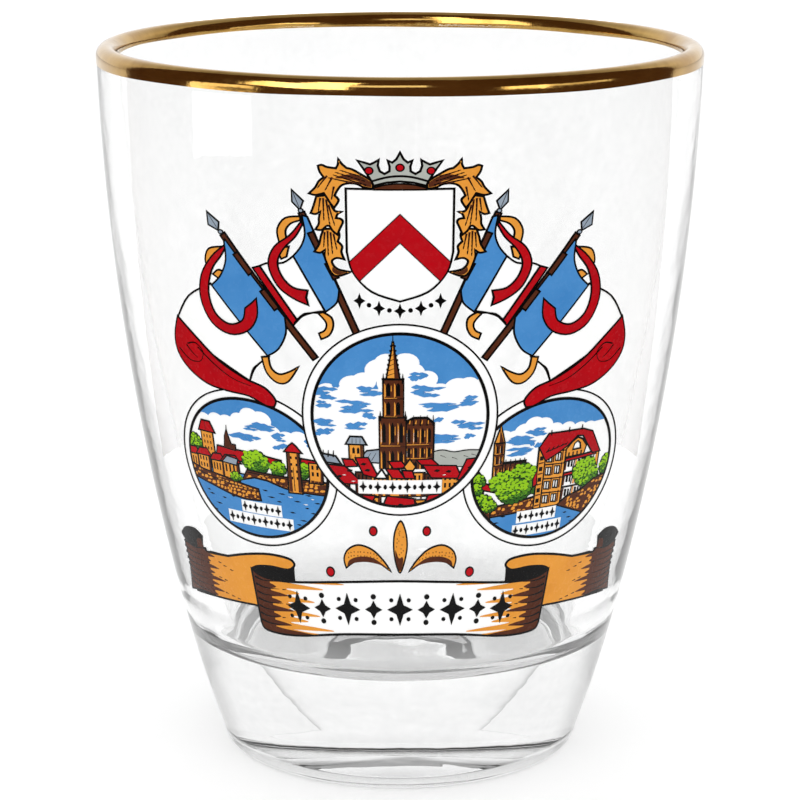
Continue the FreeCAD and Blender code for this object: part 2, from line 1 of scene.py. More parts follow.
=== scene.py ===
import bpy
import math
import random
import numpy as np
from mathutils.geometry import delaunay_2d_cdt
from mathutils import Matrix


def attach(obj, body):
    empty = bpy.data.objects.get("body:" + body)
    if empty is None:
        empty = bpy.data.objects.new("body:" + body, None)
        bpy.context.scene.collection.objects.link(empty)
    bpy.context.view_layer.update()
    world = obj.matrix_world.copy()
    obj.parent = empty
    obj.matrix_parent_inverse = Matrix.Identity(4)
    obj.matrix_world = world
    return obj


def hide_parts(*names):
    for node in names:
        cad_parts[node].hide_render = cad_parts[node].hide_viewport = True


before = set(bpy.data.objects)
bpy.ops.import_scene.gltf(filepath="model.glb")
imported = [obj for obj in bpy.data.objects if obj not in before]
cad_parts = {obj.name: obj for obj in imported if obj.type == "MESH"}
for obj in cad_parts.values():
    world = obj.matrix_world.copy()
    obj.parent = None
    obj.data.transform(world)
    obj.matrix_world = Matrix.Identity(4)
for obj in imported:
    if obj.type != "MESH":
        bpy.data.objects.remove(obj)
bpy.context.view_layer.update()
print("frame loaded")

mm = 0.001
scene = bpy.context.scene

# the glass in millimetres, as the frame was designed
glassShape = {
    "height": 60.0, "mouthRadius": 25.0, "kneeRadius": 18.7, "kneeHeight": 12.0, "footRadius": 15.1,
    "cupBulge": 1.3, "footBulge": 0.17, "lipWall": 1.7, "middleWall": 2.3, "floorWall": 3.2,
    "floorHeight": 10.0, "floorDish": 0.5, "floorRound": 2.6, "heelRound": 0.9, "puntRadius": 7.0,
    "puntDepth": 1.3, "puntRound": 0.4, "segments": 224,
}
lipRound = glassShape["lipWall"] / 2
lipHeight = glassShape["height"] - lipRound


class Bow:
    # an arc in the radius and height plane, from its ends and how far it bows outwards
    def __init__(self, low, high, bulge):
        dr, dz = high[0] - low[0], high[1] - low[1]
        chord = math.hypot(dr, dz)
        self.sweep = chord * chord / (8 * bulge) + bulge / 2
        back = self.sweep - bulge
        self.r = (low[0] + high[0]) / 2 - dz / chord * back
        self.z = (low[1] + high[1]) / 2 + dr / chord * back

    def at(self, z):
        return self.r + math.sqrt(self.sweep ** 2 - (z - self.z) ** 2)


mouth = (glassShape["mouthRadius"], lipHeight)
knee = (glassShape["kneeRadius"], glassShape["kneeHeight"])
cupBow = Bow(knee, mouth, glassShape["cupBulge"])
footBow = Bow((glassShape["footRadius"], 0), knee, glassShape["footBulge"])


def throughThree(a, b, c):
    # the arc through three points, for the inside of the cup
    d = 2 * (a[0] * (b[1] - c[1]) + b[0] * (c[1] - a[1]) + c[0] * (a[1] - b[1]))
    sa, sb, sc = (p[0] ** 2 + p[1] ** 2 for p in (a, b, c))
    bow = Bow.__new__(Bow)
    bow.r = (sa * (b[1] - c[1]) + sb * (c[1] - a[1]) + sc * (a[1] - b[1])) / d
    bow.z = (sa * (c[0] - b[0]) + sb * (a[0] - c[0]) + sc * (b[0] - a[0])) / d
    bow.sweep = math.hypot(a[0] - bow.r, a[1] - bow.z)
    return bow


middleZ = (glassShape["floorHeight"] + lipHeight) / 2
floorTopZ = glassShape["floorHeight"] + glassShape["floorRound"]
innerBow = throughThree(
    (mouth[0] - glassShape["lipWall"], lipHeight),
    (cupBow.at(middleZ) - glassShape["middleWall"], middleZ),
    (cupBow.at(floorTopZ) - glassShape["floorWall"], floorTopZ))


def selectNothing():
    if bpy.context.object and bpy.context.object.mode != "OBJECT":
        bpy.ops.object.mode_set(mode="OBJECT")
    bpy.ops.object.select_all(action="DESELECT")


def turned(name, rings, segments, closed):
    # a ring of points pulled along a profile: each ring is extruded, moved up and scaled
    selectNothing()
    bpy.ops.mesh.primitive_circle_add(vertices=segments, radius=rings[0][0] * mm)
    piece = bpy.context.object
    piece.name = name
    piece.data.name = name
    bpy.ops.object.mode_set(mode="EDIT")
    bpy.ops.mesh.select_all(action="SELECT")
    bpy.ops.transform.translate(value=(0, 0, rings[0][1] * mm))
    for (r0, z0), (r1, z1) in zip(rings, rings[1:]):
        bpy.ops.mesh.extrude_edges_move(TRANSFORM_OT_translate={"value": (0, 0, (z1 - z0) * mm)})
        bpy.ops.transform.resize(value=(r1 / r0, r1 / r0, 1))
    if closed:
        bpy.ops.mesh.select_all(action="SELECT")
        bpy.ops.mesh.remove_doubles(threshold=0.000002)
    bpy.ops.mesh.select_all(action="SELECT")
    bpy.ops.mesh.fill_holes(sides=segments)
    bpy.ops.mesh.select_all(action="SELECT")
    bpy.ops.mesh.normals_make_consistent(inside=False)
    bpy.ops.object.mode_set(mode="OBJECT")
    return piece


def roundCorner(r, z, radius, start, end, steps):
    # points of a small round, angles in degrees from outwards
    turns = [math.radians(start + (end - start) * i / steps) for i in range(steps + 1)]
    return [(r + radius * math.cos(t), z + radius * math.sin(t)) for t in turns]


def levels(low, high, step):
    count = max(2, round(abs(high - low) / step))
    return [low + (high - low) * i / count for i in range(count + 1)]


def glassRings():
    g = glassShape
    punt = [(r, g["puntDepth"] * (1 - (r / g["puntRadius"]) ** 2)) for r in levels(0.25,
        g["puntRadius"] - 0.3, 0.6)]
    rings = punt + [(g["puntRadius"], 0.03), (g["puntRadius"] + 0.3, 0.0)]
    heel = g["heelRound"]
    heelMiddle = footBow.at(heel) - heel
    rings += roundCorner(heelMiddle, heel, heel, -90, 0, 6)
    rings += [(footBow.at(z), z) for z in levels(heel, g["kneeHeight"], 0.8)[1:]]
    rings += [(cupBow.at(z), z) for z in levels(g["kneeHeight"], lipHeight, 0.9)[1:]]
    rings += roundCorner(mouth[0] - lipRound, lipHeight, lipRound, 0, 180, 14)[1:]
    rings += [(innerBow.at(z), z) for z in levels(lipHeight, floorTopZ, 0.9)[1:]]
    corner = g["floorRound"]
    rings += roundCorner(innerBow.at(floorTopZ) - corner, floorTopZ, corner, 0, -84, 9)[1:]
    edgeR, edgeZ = rings[-1]
    for r in levels(edgeR, 0.25, 0.7)[1:]:
        rings.append((r, edgeZ - g["floorDish"] * (1 - (r / edgeR) ** 2)))
    return rings


def applyAll(piece):
    selectNothing()
    piece.select_set(True)
    bpy.context.view_layer.objects.active = piece
    for modifier in list(piece.modifiers):
        bpy.ops.object.modifier_apply(modifier=modifier.name)


def smoothBy(piece, degrees):
    selectNothing()
    piece.select_set(True)
    bpy.context.view_layer.objects.active = piece
    bpy.ops.object.shade_smooth_by_angle(angle=math.radians(degrees))


# pressed glass isn't quite true: the floor and the dome under the base are a little lumpy
lumps = {"floorAmount": 0.14, "floorSize": 5.0, "puntAmount": 0.3, "puntSize": 2.2}


def pressedLumps(piece):
    def group(name, test):
        own = piece.vertex_groups.new(name=name)
        for v in piece.data.vertices:
            weight = test(math.hypot(v.co.x, v.co.y) / mm, v.co.z / mm)
            if weight > 0:
                own.add([v.index], min(weight, 1), "REPLACE")
        return own

    floorEdge = glassShape["floorHeight"] + 5
    group("floor", lambda r,
        z: (floorEdge - z) / 3 if glassShape["floorHeight"] - 1 < z < floorEdge and r < innerBow.at(max(z,
        floorTopZ)) + 0.2 else 0)
    group("punt", lambda r, z: (1 - r / 6) if z < 2 and r < 6 else 0)
    for name, amount, size in (("floor", lumps["floorAmount"], lumps["floorSize"]),
            ("punt", lumps["puntAmount"], lumps["puntSize"])):
        cloud = bpy.data.textures.new(name + "Lumps", "CLOUDS")
        cloud.noise_scale = size * mm
        cloud.noise_depth = 1
        push = piece.modifiers.new(name + "Push", "DISPLACE")
        push.texture = cloud
        push.texture_coords = "LOCAL"
        push.strength = amount * mm
        push.mid_level = 0.5
        push.vertex_group = name
    applyAll(piece)
    piece.vertex_groups.clear()


glass = turned("glassBody", glassRings(), glassShape["segments"], False)
pressedLumps(glass)
smoothBy(glass, 60)
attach(glass, "root")
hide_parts("glass_body")
print("glass turned,", len(glass.data.polygons), "faces")

goldShape = {
    "outside": 0.5, "inside": 0.15, "film": 0.03, "sink": 0.02, "segments": 224,
    "wander": 0.1, "ragged": 0.45, "outerShare": 0.6,  # how far the lower edge wanders, and where on the band
}


def goldRings(out):
    low = lipHeight - goldShape["outside"]
    innerLow = lipHeight - goldShape["inside"]
    rings = [(cupBow.at(z) + out, z) for z in levels(low, lipHeight, 0.2)]
    rings += roundCorner(mouth[0] - lipRound, lipHeight, lipRound + out, 0, 180, 14)[1:]
    rings += [(innerBow.at(z) - out, z) for z in levels(lipHeight, innerLow, 0.15)[1:]]
    return rings


def goldBand():
    outer = goldRings(goldShape["film"])
    inner = goldRings(-goldShape["sink"])
    band = turned("goldRimBand", outer + inner[::-1] + outer[:1], goldShape["segments"], True)
    low = lipHeight - goldShape["outside"]
    for v in band.data.vertices:  # the lower edge was laid on with a brush, so it wanders a little
        r, z = math.hypot(v.co.x, v.co.y) / mm, v.co.z / mm
        if z < low + goldShape["ragged"] and r > mouth[0] - goldShape["outerShare"]:
            turn = math.atan2(v.co.y, v.co.x)
            drift = math.sin(3 * turn + 0.7) + 0.6 * math.sin(7 * turn) + 0.3 * math.sin(11 * turn + 2)
            fade = (low + goldShape["ragged"] - z) / goldShape["ragged"]
            v.co.z += goldShape["wander"] * mm * drift / 2 * fade
    smoothBy(band, 50)
    return band


gold = goldBand()
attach(gold, "root")
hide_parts("gold_rim_band")
print("gold band laid")

# The print is drawn flat, in millimetres: x along the wall at the sheet radius, z up the glass.
sheet = {
    "radius": 22.0, "line": 0.14, "gridX": 1.1, "gridZ": 2.2, "film": 0.06, "whiteTop": 0.05, "inkTop": 0.10,
    "whiteShare": 0.68,  # the share of the white film's triangles that is kept
}
strokes = []  # what is painted, first to last: piece, ink, outline, window
dice = random.Random(4)


def paint(piece, ink, outline, window=None):
    strokes.append((piece, ink, outline, window))


def area(points):
    return sum(a[0] * b[1] - b[0] * a[1] for a, b in zip(points, points[1:] + points[:1])) / 2


def grown(points, by):
    # the outline pushed outwards, or inwards where by is less than nothing
    sign = 1 if area(points) > 0 else -1
    result = []
    count = len(points)
    for i in range(count):
        a, p, b = points[i - 1], points[i], points[(i + 1) % count]
        d1 = (p[0] - a[0], p[1] - a[1])
        d2 = (b[0] - p[0], b[1] - p[1])
        l1, l2 = math.hypot(*d1) or 1e-9, math.hypot(*d2) or 1e-9
        n = (d1[1] / l1 + d2[1] / l2, -d1[0] / l1 - d2[0] / l2)
        length = math.hypot(*n) or 1e-9
        reach = by * sign * min(2 / length, 2.2) / length
        result.append((p[0] + n[0] * reach, p[1] + n[1] * reach))
    return result


def smooth(points, closed=False, steps=4):
    # a smooth curve through the points
    count = len(points)
    spans = count if closed else count - 1
    result = []
    for i in range(spans):
        if closed:
            p0, p1, p2, p3 = (points[(i + k) % count] for k in (-1, 0, 1, 2))
        else:
            p1, p2 = points[i], points[i + 1]
            p0 = points[i - 1] if i else p1
            p3 = points[i + 2] if i + 2 < count else p2
        for s in range(steps):
            t = s / steps
            result.append(tuple(0.5 * (2 * p1[k] + (p2[k] - p0[k]) * t
                                       + (2 * p0[k] - 5 * p1[k] + 4 * p2[k] - p3[k]) * t * t
                                       + (3 * p1[k] - p0[k] - 3 * p2[k] + p3[k]) * t ** 3) for k in (0, 1)))
    if not closed:
        result.append(tuple(points[-1]))
    return result


def shape(start, *stretches):
    # goes on from the last point: one point is a straight side, more are a smooth curve
    outline = [start]
    for stretch in stretches:
        if len(stretch) == 1:
            outline.append(stretch[0])
        else:
            outline += smooth([outline[-1]] + list(stretch))[1:]
    return outline[:-1] if math.dist(outline[0], outline[-1]) < 1e-6 else outline


def disc(x, z, a, b=None, count=None):
    b = b or a
    count = count or max(8, int(14 + 5 * max(a, b)))
    return [(x + a * math.cos(i * math.tau / count),
        z + b * math.sin(i * math.tau / count)) for i in range(count)]


def block(x0, x1, z0, z1):
    return [(x0, z0), (x1, z0), (x1, z1), (x0, z1)]


def brush(points, width, end=None):
    # an open stroke of the pen, from one width to another
    end = width if end is None else end
    left, right = [], []
    count = len(points)
    for i, p in enumerate(points):
        a, b = points[max(i - 1, 0)], points[min(i + 1, count - 1)]
        dx, dz = b[0] - a[0], b[1] - a[1]
        length = math.hypot(dx, dz) or 1e-9
        half = (width + (end - width) * i / (count - 1)) / 2
        left.append((p[0] - dz / length * half, p[1] + dx / length * half))
        right.append((p[0] + dz / length * half, p[1] - dx / length * half))
    return right + left[::-1]


def mirrored(points):
    return [(-x, z) for x, z in points]


def moved(x, points):
    # drawn about x = 0 and moved to its place; anything after the first number stays as it is
    return [(px + x, *rest) for px, *rest in points]


def dark(outline, window=None):
    paint("linePrint", "black", outline, window)


def inked(piece, ink, outline, window=None, line=None):
    line = sheet["line"] if line is None else line
    dark(grown(outline, line / 2), window)
    paint(piece, ink, grown(outline, -line / 2), window)


def pen(points, width=0.12, end=None, window=None):
    dark(brush(points, width, end), window)


def flecks(piece, ink, x, z, wide, tall, count, window, thick=0.3):
    # a cluster of ragged horizontal brush marks
    for i in range(count):
        half = wide * dice.uniform(0.22, 0.5)
        cx = x + dice.uniform(-0.5, 0.5) * (wide - half)
        cz = z + tall * ((i + 0.5) / count - 0.5) + dice.uniform(-0.04, 0.04)
        t = thick * dice.uniform(0.6, 1.1) / 2
        lean = dice.uniform(-0.05, 0.02) * half
        mark = [(cx - half, cz + lean), (cx - half * 0.5, cz - t), (cx + half * 0.1, cz - t * 0.7),
            (cx + half * 0.45, cz - t * 1.1), (cx + half, cz - lean), (cx + half * 0.55, cz + t * 0.8),
            (cx + half * 0.15, cz + t * 0.5), (cx - half * 0.35, cz + t * 1.2)]
        paint(piece, ink, mark, window)


def puffs(piece, ink, centres, window):
    for x, z, r in centres:
        paint(piece, ink, disc(x, z, r, r * 0.82), window)


def gridOfPanes(x0, x1, z0, z1, columns, rows, window, wide=0.5, tall=0.55):
    # small dark windows in rows
    for i in range(columns):
        for k in range(rows):
            cx = x0 + (x1 - x0) * (i + 0.5) / columns
            cz = z0 + (z1 - z0) * (k + 0.5) / rows
            w, h = (x1 - x0) / columns * wide / 2, (z1 - z0) / rows * tall / 2
            dark(block(cx - w, cx + w, cz - h, cz + h), window)


def plate(x, z, wide, tall, beads, window):
    # a white tablet with a row of small lozenges
    paint("whitePrint", "white", block(x - wide / 2, x + wide / 2, z - tall / 2, z + tall / 2), window)
    pitch = wide / (beads + 0.4)
    for i in range(beads):
        cx = x + (i - (beads - 1) / 2) * pitch
        if i % 2:
            dark(disc(cx, z, pitch * 0.24, tall * 0.17, 10), window)
        else:
            dark(star(cx, z, pitch * 0.52, tall * 0.4), window)


def star(x, z, a, b, waist=0.42):
    # a four-pointed lozenge star
    turns = [(k * math.pi / 4, 1 if k % 2 == 0 else waist) for k in range(8)]
    return [(x + a * reach * math.cos(t), z + b * reach * math.sin(t)) for t, reach in turns]


medallions = {
    "centre": {"x": 0.0, "z": 33.45, "a": 7.4, "b": 7.9},
    "side": {"x": 12.2, "z": 28.6, "a": 7.4, "b": 6.6},
    "outerLine": 0.13, "ring": 0.56, "innerLine": 0.24,
}


def medallion(x, z, a, b):
    # rings from outside in, then the window that the scene is clipped to
    m = medallions
    count = 96
    dark(disc(x, z, a, b, count))
    inset = m["outerLine"]
    paint("whitePrint", "white", disc(x, z, a - inset, b - inset, count))
    inset += m["ring"]
    dark(disc(x, z, a - inset, b - inset, count))
    inset += m["innerLine"]
    window = disc(x, z, a - inset, b - inset, count)
    paint("whitePrint", "white", window)
    return [window]


def lancets(x0, x1, z0, z1, columns, rows, window):
    # carved stone seen from afar: brown, with dark pointed openings and lit edges
    paint("churchStonePrint", "brown", block(x0, x1, z0, z1), window)
    wide, tall = (x1 - x0) / columns, (z1 - z0) / rows
    for k in range(rows):
        for i in range(columns):
            x, z = x0 + wide * (i + 0.5), z0 + tall * k
            w = wide * 0.2
            low, high = z + tall * 0.14, z + tall * 0.7
            dark([(x - w, low), (x + w, low), (x + w, high), (x, high + tall * 0.16), (x - w, high)], window)
            left = x - wide * 0.42
            paint("churchStonePrint", "ochre", [(left, low - tall * 0.1), (left + wide * 0.17, low),
                (left + wide * 0.15, high), (left + wide * 0.02, high + tall * 0.14)], window)
            if dice.random() < 0.45:
                paint("churchStonePrint", "ochre", brush([(x + w * 1.5, high - tall * 0.3),
                    (x + w * 1.5, high)], 0.06, 0.04), window)
            if dice.random() < 0.35:
                paint("whitePrint", "white", brush([(left + 0.05, low), (left + 0.06, high - tall * 0.1)],
                    0.06, 0.04), window)
        paint("churchStonePrint", "ochre", brush([(x0 + 0.05, z0 + tall * k + 0.04),
            (x1 - wide * 0.6, z0 + tall * k + 0.05)], 0.07, 0.03), window)
        pen([(x0, z0 + tall * (k + 1)), (x1, z0 + tall * (k + 1))], 0.07, 0.07, window)


def rubble(piece, outline, window, pitch=0.4, line=0.13):
    # rough stonework: lit stones and dark joints on a brown ground
    inked(piece, "brown", outline, window, line)
    field = window + [grown(outline, -line)]
    x0, z = min(p[0] for p in outline), min(p[1] for p in outline)
    x1, z1 = max(p[0] for p in outline), max(p[1] for p in outline)
    while z < z1:
        x = x0 + dice.uniform(0, pitch)
        while x < x1:
            w, h = pitch * dice.uniform(0.5, 1.2), pitch * dice.uniform(0.35, 0.6)
            dz = dice.uniform(-0.06, 0.06)
            kind = dice.random()
            if kind < 0.66:
                paint(piece, "ochre", [(x, z + dz), (x + w * 0.5, z + dz - 0.04), (x + w, z + dz + 0.03),
                    (x + w * 0.9, z + dz + h), (x + w * 0.3, z + dz + h * 1.1)], field)
            elif kind < 0.86:
                dark([(x, z + dz), (x + w * 0.7, z + dz), (x + w * 0.6, z + dz + h * 0.5)], field)
            x += w + pitch * 0.2
        z += pitch * 0.72


def cottage(x0, x1, z0, z1, panes, window, ink="ochre"):
    # a wall with a shaded side, a rough foot and small dark windows
    inked("townWallPrint", ink, block(x0, x1, z0, z1), window, 0.12)
    shade = x1 - (x1 - x0) * 0.2
    paint("townWallPrint", "brown", [(shade, z0 + 0.06), (x1 - 0.06, z0 + 0.06), (x1 - 0.06, z1 - 0.06),
        (shade + 0.08, z1 - 0.06)], window)
    for i in range(4):
        x = x0 + (x1 - x0) * dice.uniform(0.08, 0.7)
        paint("townWallPrint", "brown", block(x, x + dice.uniform(0.12, 0.3), z0 + 0.06,
            z0 + dice.uniform(0.15, 0.3)), window)
    gridOfPanes(x0 + 0.1, shade, z0 + (z1 - z0) * 0.3, z1 - 0.08, panes, 1 if z1 - z0 < 1.6 else 2, window,
        0.45, 0.62)


def roofTile(outline, window):
    inked("roofPrint", "red", outline, window, 0.13)


def cathedralView():
    c = medallions["centre"]
    w = medallion(c["x"], c["z"], c["a"], c["b"])
    paint("skyPrint", "blue", block(-8, 8, 36.1, 42), w)
    puffs("whitePrint", "white", [(-6.2, 35.5, 0.9), (-5.3, 35.7, 0.9), (-4.4, 35.5, 1.0),
        (-3.4, 36.3, 1.05), (-2.6, 36.7, 0.9), (-2.9, 35.4, 1.2), (-1.4, 37.6, 1.15), (-0.9, 38.2, 0.95),
        (0.4, 38.2, 1.0), (0.7, 37.4, 1.1), (1.9, 36.9, 0.85), (1.4, 36.2, 1.3), (2.9, 35.8, 0.9),
        (4.2, 36.1, 1.0), (5.0, 36.3, 0.8), (5.7, 35.9, 0.9), (6.4, 36.3, 0.9), (-0.3, 36.6, 1.4),
        (-6.9, 35.9, 0.7), (3.5, 35.2, 1.2)], w)
    for x, z, wide, tall, count in ((-5.4, 35.6, 1.9, 0.9, 6), (-2.3, 35.9, 1.7, 0.7, 5),
            (-3.2, 34.6, 2.2, 1.0, 6), (-5.6, 34.7, 1.3, 0.4, 3), (-5.8, 33.2, 1.6, 0.5, 4),
            (-3.4, 33.0, 2.0, 0.5, 4), (-5.7, 32.4, 1.4, 0.5, 4), (-2.2, 33.9, 0.9, 0.4, 3),
            (-4.6, 36.3, 0.8, 0.3, 2), (1.3, 37.1, 1.3, 0.6, 4), (2.0, 35.9, 2.1, 0.8, 6),
            (3.4, 34.6, 2.9, 0.6, 5), (5.2, 35.0, 1.5, 0.7, 4), (5.0, 33.0, 2.2, 0.7, 5),
            (3.4, 32.0, 2.2, 0.6, 5), (5.4, 32.1, 1.0, 0.4, 3), (2.9, 33.6, 0.9, 0.3, 2)):
        flecks("skyPrint", "blue", x, z, wide, tall, count, w)
    inked("hillPrint", "grey", shape((2.4, 29.6), [(2.4, 30.9)],
        [(3.2, 31.05), (4.1, 30.85), (5.2, 30.95), (7, 30.8)], [(7, 29.6)]), w, 0.08)
    for x, z in ((3.3, 30.6), (4.2, 30.4), (5.1, 30.5), (5.7, 30.6)):
        pen([(x - 0.25, z), (x, z - 0.08), (x + 0.2, z - 0.2)], 0.06, 0.02, w)
    cathedral(w)
    townRoofs(w)
    plate(0, 27.98, 6.5, 1.2, 11, w)


def cathedral(w):
    # a plain parish church of no particular place: west tower and spire, a nave with tall windows
    inked("hillPrint", "steel", [(-3.3, 30.1), (-2.5, 31.0), (-1.5, 31.15), (-1.4, 30.0)], w, 0.12)
    for x in (-2.6, -2.2, -1.8):
        pen([(x - 0.35, 30.2), (x, 30.85)], 0.06, 0.03, w)
    inked("churchStonePrint", "ochre", block(-3.85, -2.75, 29.9, 31.6), w, 0.13)
    paint("churchStonePrint", "brown", block(-3.0, -2.82, 29.95, 31.5), w)
    for x in (-3.5, -3.15):
        dark([(x - 0.1, 30.75), (x + 0.1, 30.75), (x + 0.1, 31.15), (x, 31.3), (x - 0.1, 31.15)], w)
    for i in range(9):
        x = -3.75 + i * 0.11
        paint("churchStonePrint", "brown", brush([(x, 30.0), (x + 0.04, 30.2 + dice.uniform(0.1, 0.5))],
            0.08, 0.04), w)
    inked("turretRoofPrint", "steel", [(-4.1, 31.5), (-3.75, 32.15), (-2.85, 32.15), (-2.5, 31.5)], w, 0.14)
    for x in (-3.6, -3.3, -3.0):
        pen([(x, 31.6), (x + 0.02, 32.05)], 0.05, 0.03, w)
    dark(grown([(0.4, 29.0), (2.5, 29.0), (2.5, 33.3), (2.0, 33.75), (1.0, 33.75), (0.4, 33.4)], 0.09), w)
    lancets(0.42, 2.45, 29.2, 31.5, 4, 2, w)
    lancets(0.42, 2.45, 31.5, 33.2, 4, 1, w)
    paint("churchStonePrint", "brown", [(0.45, 33.2), (2.45, 33.2), (1.95, 33.65), (1.05, 33.65)], w)
    for x in (0.7, 1.15, 1.6, 2.05):
        paint("churchStonePrint", "ochre", brush([(x, 33.25), (x + 0.05, 33.55)], 0.1, 0.05), w)
    for x in (0.45, 1.0, 1.5, 2.0, 2.45):
        pen([(x, 33.1), (x, 33.95)], 0.13, 0.03, w)
    dark(grown(block(-1.5, 0.42, 29.0, 33.8), 0.09), w)
    lancets(-1.5, 0.4, 29.2, 31.4, 3, 1, w)
    lancets(-1.5, 0.4, 31.4, 33.75, 3, 1, w)
    dark(grown(block(-1.2, 0.22, 33.8, 36.9), 0.09), w)
    lancets(-1.2, 0.22, 33.8, 36.85, 2, 2, w)
    for z, half in ((33.78, 1.02), (36.9, 0.82)):
        pen([(-0.5 - half, z), (-0.5 + half, z)], 0.13, 0.13, w)
    for x in (-1.45, -1.2, 0.2, 0.4):
        top = 34.3 if abs(x + 0.5) > 0.8 else 37.35
        pen([(x, top - 0.8), (x, top)], 0.19, 0.03, w)
    for x in (-0.85, -0.5, -0.15):
        pen([(x, 36.9), (x, 37.25)], 0.12, 0.03, w)
    inked("churchStonePrint", "ochre", [(-0.98, 36.95), (-0.02, 36.95), (-0.36, 39.0), (-0.46, 39.9),
        (-0.54, 39.9), (-0.64, 39.0)], w, 0.13)
    paint("churchStonePrint", "brown", [(-0.4, 36.98), (-0.08, 36.98), (-0.4, 38.9), (-0.5, 39.7)], w)
    pen([(-0.5, 39.8), (-0.5, 40.5)], 0.1, 0.05, w)
    for i in range(7):
        z = 37.2 + i * 0.38
        half = 0.45 * (40.3 - z) / 3.3
        pen([(-0.5 - half, z), (-0.5 + half * 0.4, z + 0.22)], 0.07, 0.03, w)
        for side in (-1, 1):
            dark(disc(-0.5 + side * (half + 0.03), z + 0.1, 0.08, 0.09, 7), w)


def townRoofs(w):
    paint("whitePrint", "white", block(-7, 7, 25, 29.5), w)
    walls = [(-6.6, -5.2, 28.3), (-5.2, -3.9, 28.5), (-3.4, -2.2, 28.9), (-2.2, -0.9, 28.7),
        (-0.9, 0.6, 28.9), (0.6, 1.9, 28.9), (1.9, 3.2, 28.8), (3.2, 4.7, 28.8), (4.7, 6.4, 28.6)]
    for i, (x0, x1, top) in enumerate(walls):
        cottage(x0, x1, 27.2, top + 0.3, 3, w, "brown" if i in (2, 6) else "ochre")
    for x0, x1, top in ((-5.6, -4.4, 27.0), (-4.4, -3.0, 26.8), (-3.0, -1.5, 27.1), (1.0, 2.4, 26.9),
            (2.4, 4.0, 26.6), (4.0, 5.4, 27.2)):
        cottage(x0, x1, 25.0, top, 3, w)
    for i in range(30):  # timbers under the eaves
        x = -5.6 + i * 0.4 + dice.uniform(-0.08, 0.08)
        z = 26.5 if i % 2 else 27.0
        paint("townWallPrint", "brown", brush([(x, z), (x + 0.03, z + dice.uniform(0.3, 0.55))], 0.13,
            0.08), w)
    inked("turretRoofPrint", "steel", [(-6.6, 30.0), (-5.9, 30.6), (-4.9, 30.45), (-4.5, 29.8)], w, 0.14)
    for x in (-5.9, -5.5, -5.1):
        pen([(x, 30.35), (x + 0.04, 30.9)], 0.12, 0.05, w)
    tiles = [
        [(-4.4, 30.25), (-3.6, 30.25), (-3.2, 29.7), (-4.2, 29.6)],
        [(-6.8, 29.8), (-4.2, 29.65), (-2.8, 28.2), (-5.5, 28.15)],
        [(-3.4, 30.4), (-2.4, 30.45), (-1.6, 28.7), (-2.8, 29.0)],
        [(-0.9, 30.15), (0.1, 30.2), (0.55, 29.65), (-0.5, 29.55)],
        [(-1.1, 29.55), (-0.1, 29.5), (0.4, 28.7), (-0.6, 28.75)],
        [(0.15, 29.4), (0.95, 29.35), (1.15, 28.7), (0.35, 28.75)],
        [(1.2, 30.3), (2.4, 30.35), (3.0, 29.75), (1.75, 29.7)],
        [(1.7, 29.85), (4.3, 29.7), (4.8, 28.6), (2.4, 28.75)],
        [(4.4, 28.5), (5.1, 30.2), (6.9, 30.3), (6.9, 28.4)],
        [(-1.7, 25.5), (-1.0, 27.25), (1.1, 27.0), (1.4, 25.5)],
        [(1.4, 25.5), (2.2, 27.3), (5.5, 27.6), (4.6, 25.5)],
        [(-4.3, 26.9), (-3.4, 27.3), (-1.9, 27.25), (-2.2, 26.6)],
    ]
    for tile in tiles:
        roofTile(tile, w)
    for x, z in ((-5.6, 29.2), (-4.7, 28.8), (-3.9, 29.3), (2.8, 29.35), (3.7, 29.25), (5.4, 29.5),
            (-2.8, 29.9), (-2.5, 29.4), (0, 26.5), (2.9, 26.8)):
        dark([(x - 0.25, z - 0.05), (x + 0.1, z - 0.14), (x + 0.28, z + 0.04), (x, z + 0.12)], w)
    for x, z, half in ((-5.0, 28.55, 0.3), (-4.3, 28.9, 0.22), (-3.6, 28.4, 0.25), (3.4, 28.95, 0.2),
            (-4.7, 28.35, 0.3)):
        paint("whitePrint", "white", [(x - half, z), (x, z - 0.06), (x + half, z + 0.02), (x, z + 0.07)], w)
    inked("whitePrint", "white", [(-1.95, 28.7), (-1.4, 29.5), (-0.95, 28.7)], w, 0.14)
    inked("townWallPrint", "ochre", [(0.3, 29.7), (0.75, 30.35), (1.2, 29.7), (1.0, 29.4), (0.5, 29.4)], w,
        0.13)


def waterDashes(window, spots, ink="black", piece="linePrint"):
    for x, z, half in spots:
        paint(piece, ink, [(x - half, z + 0.03), (x, z - 0.07), (x + half, z - 0.02),
            (x + half * 0.3, z + 0.07)], window)


goldenTurn = 2.39996  # radians; dabs set this far apart round a crown never line up


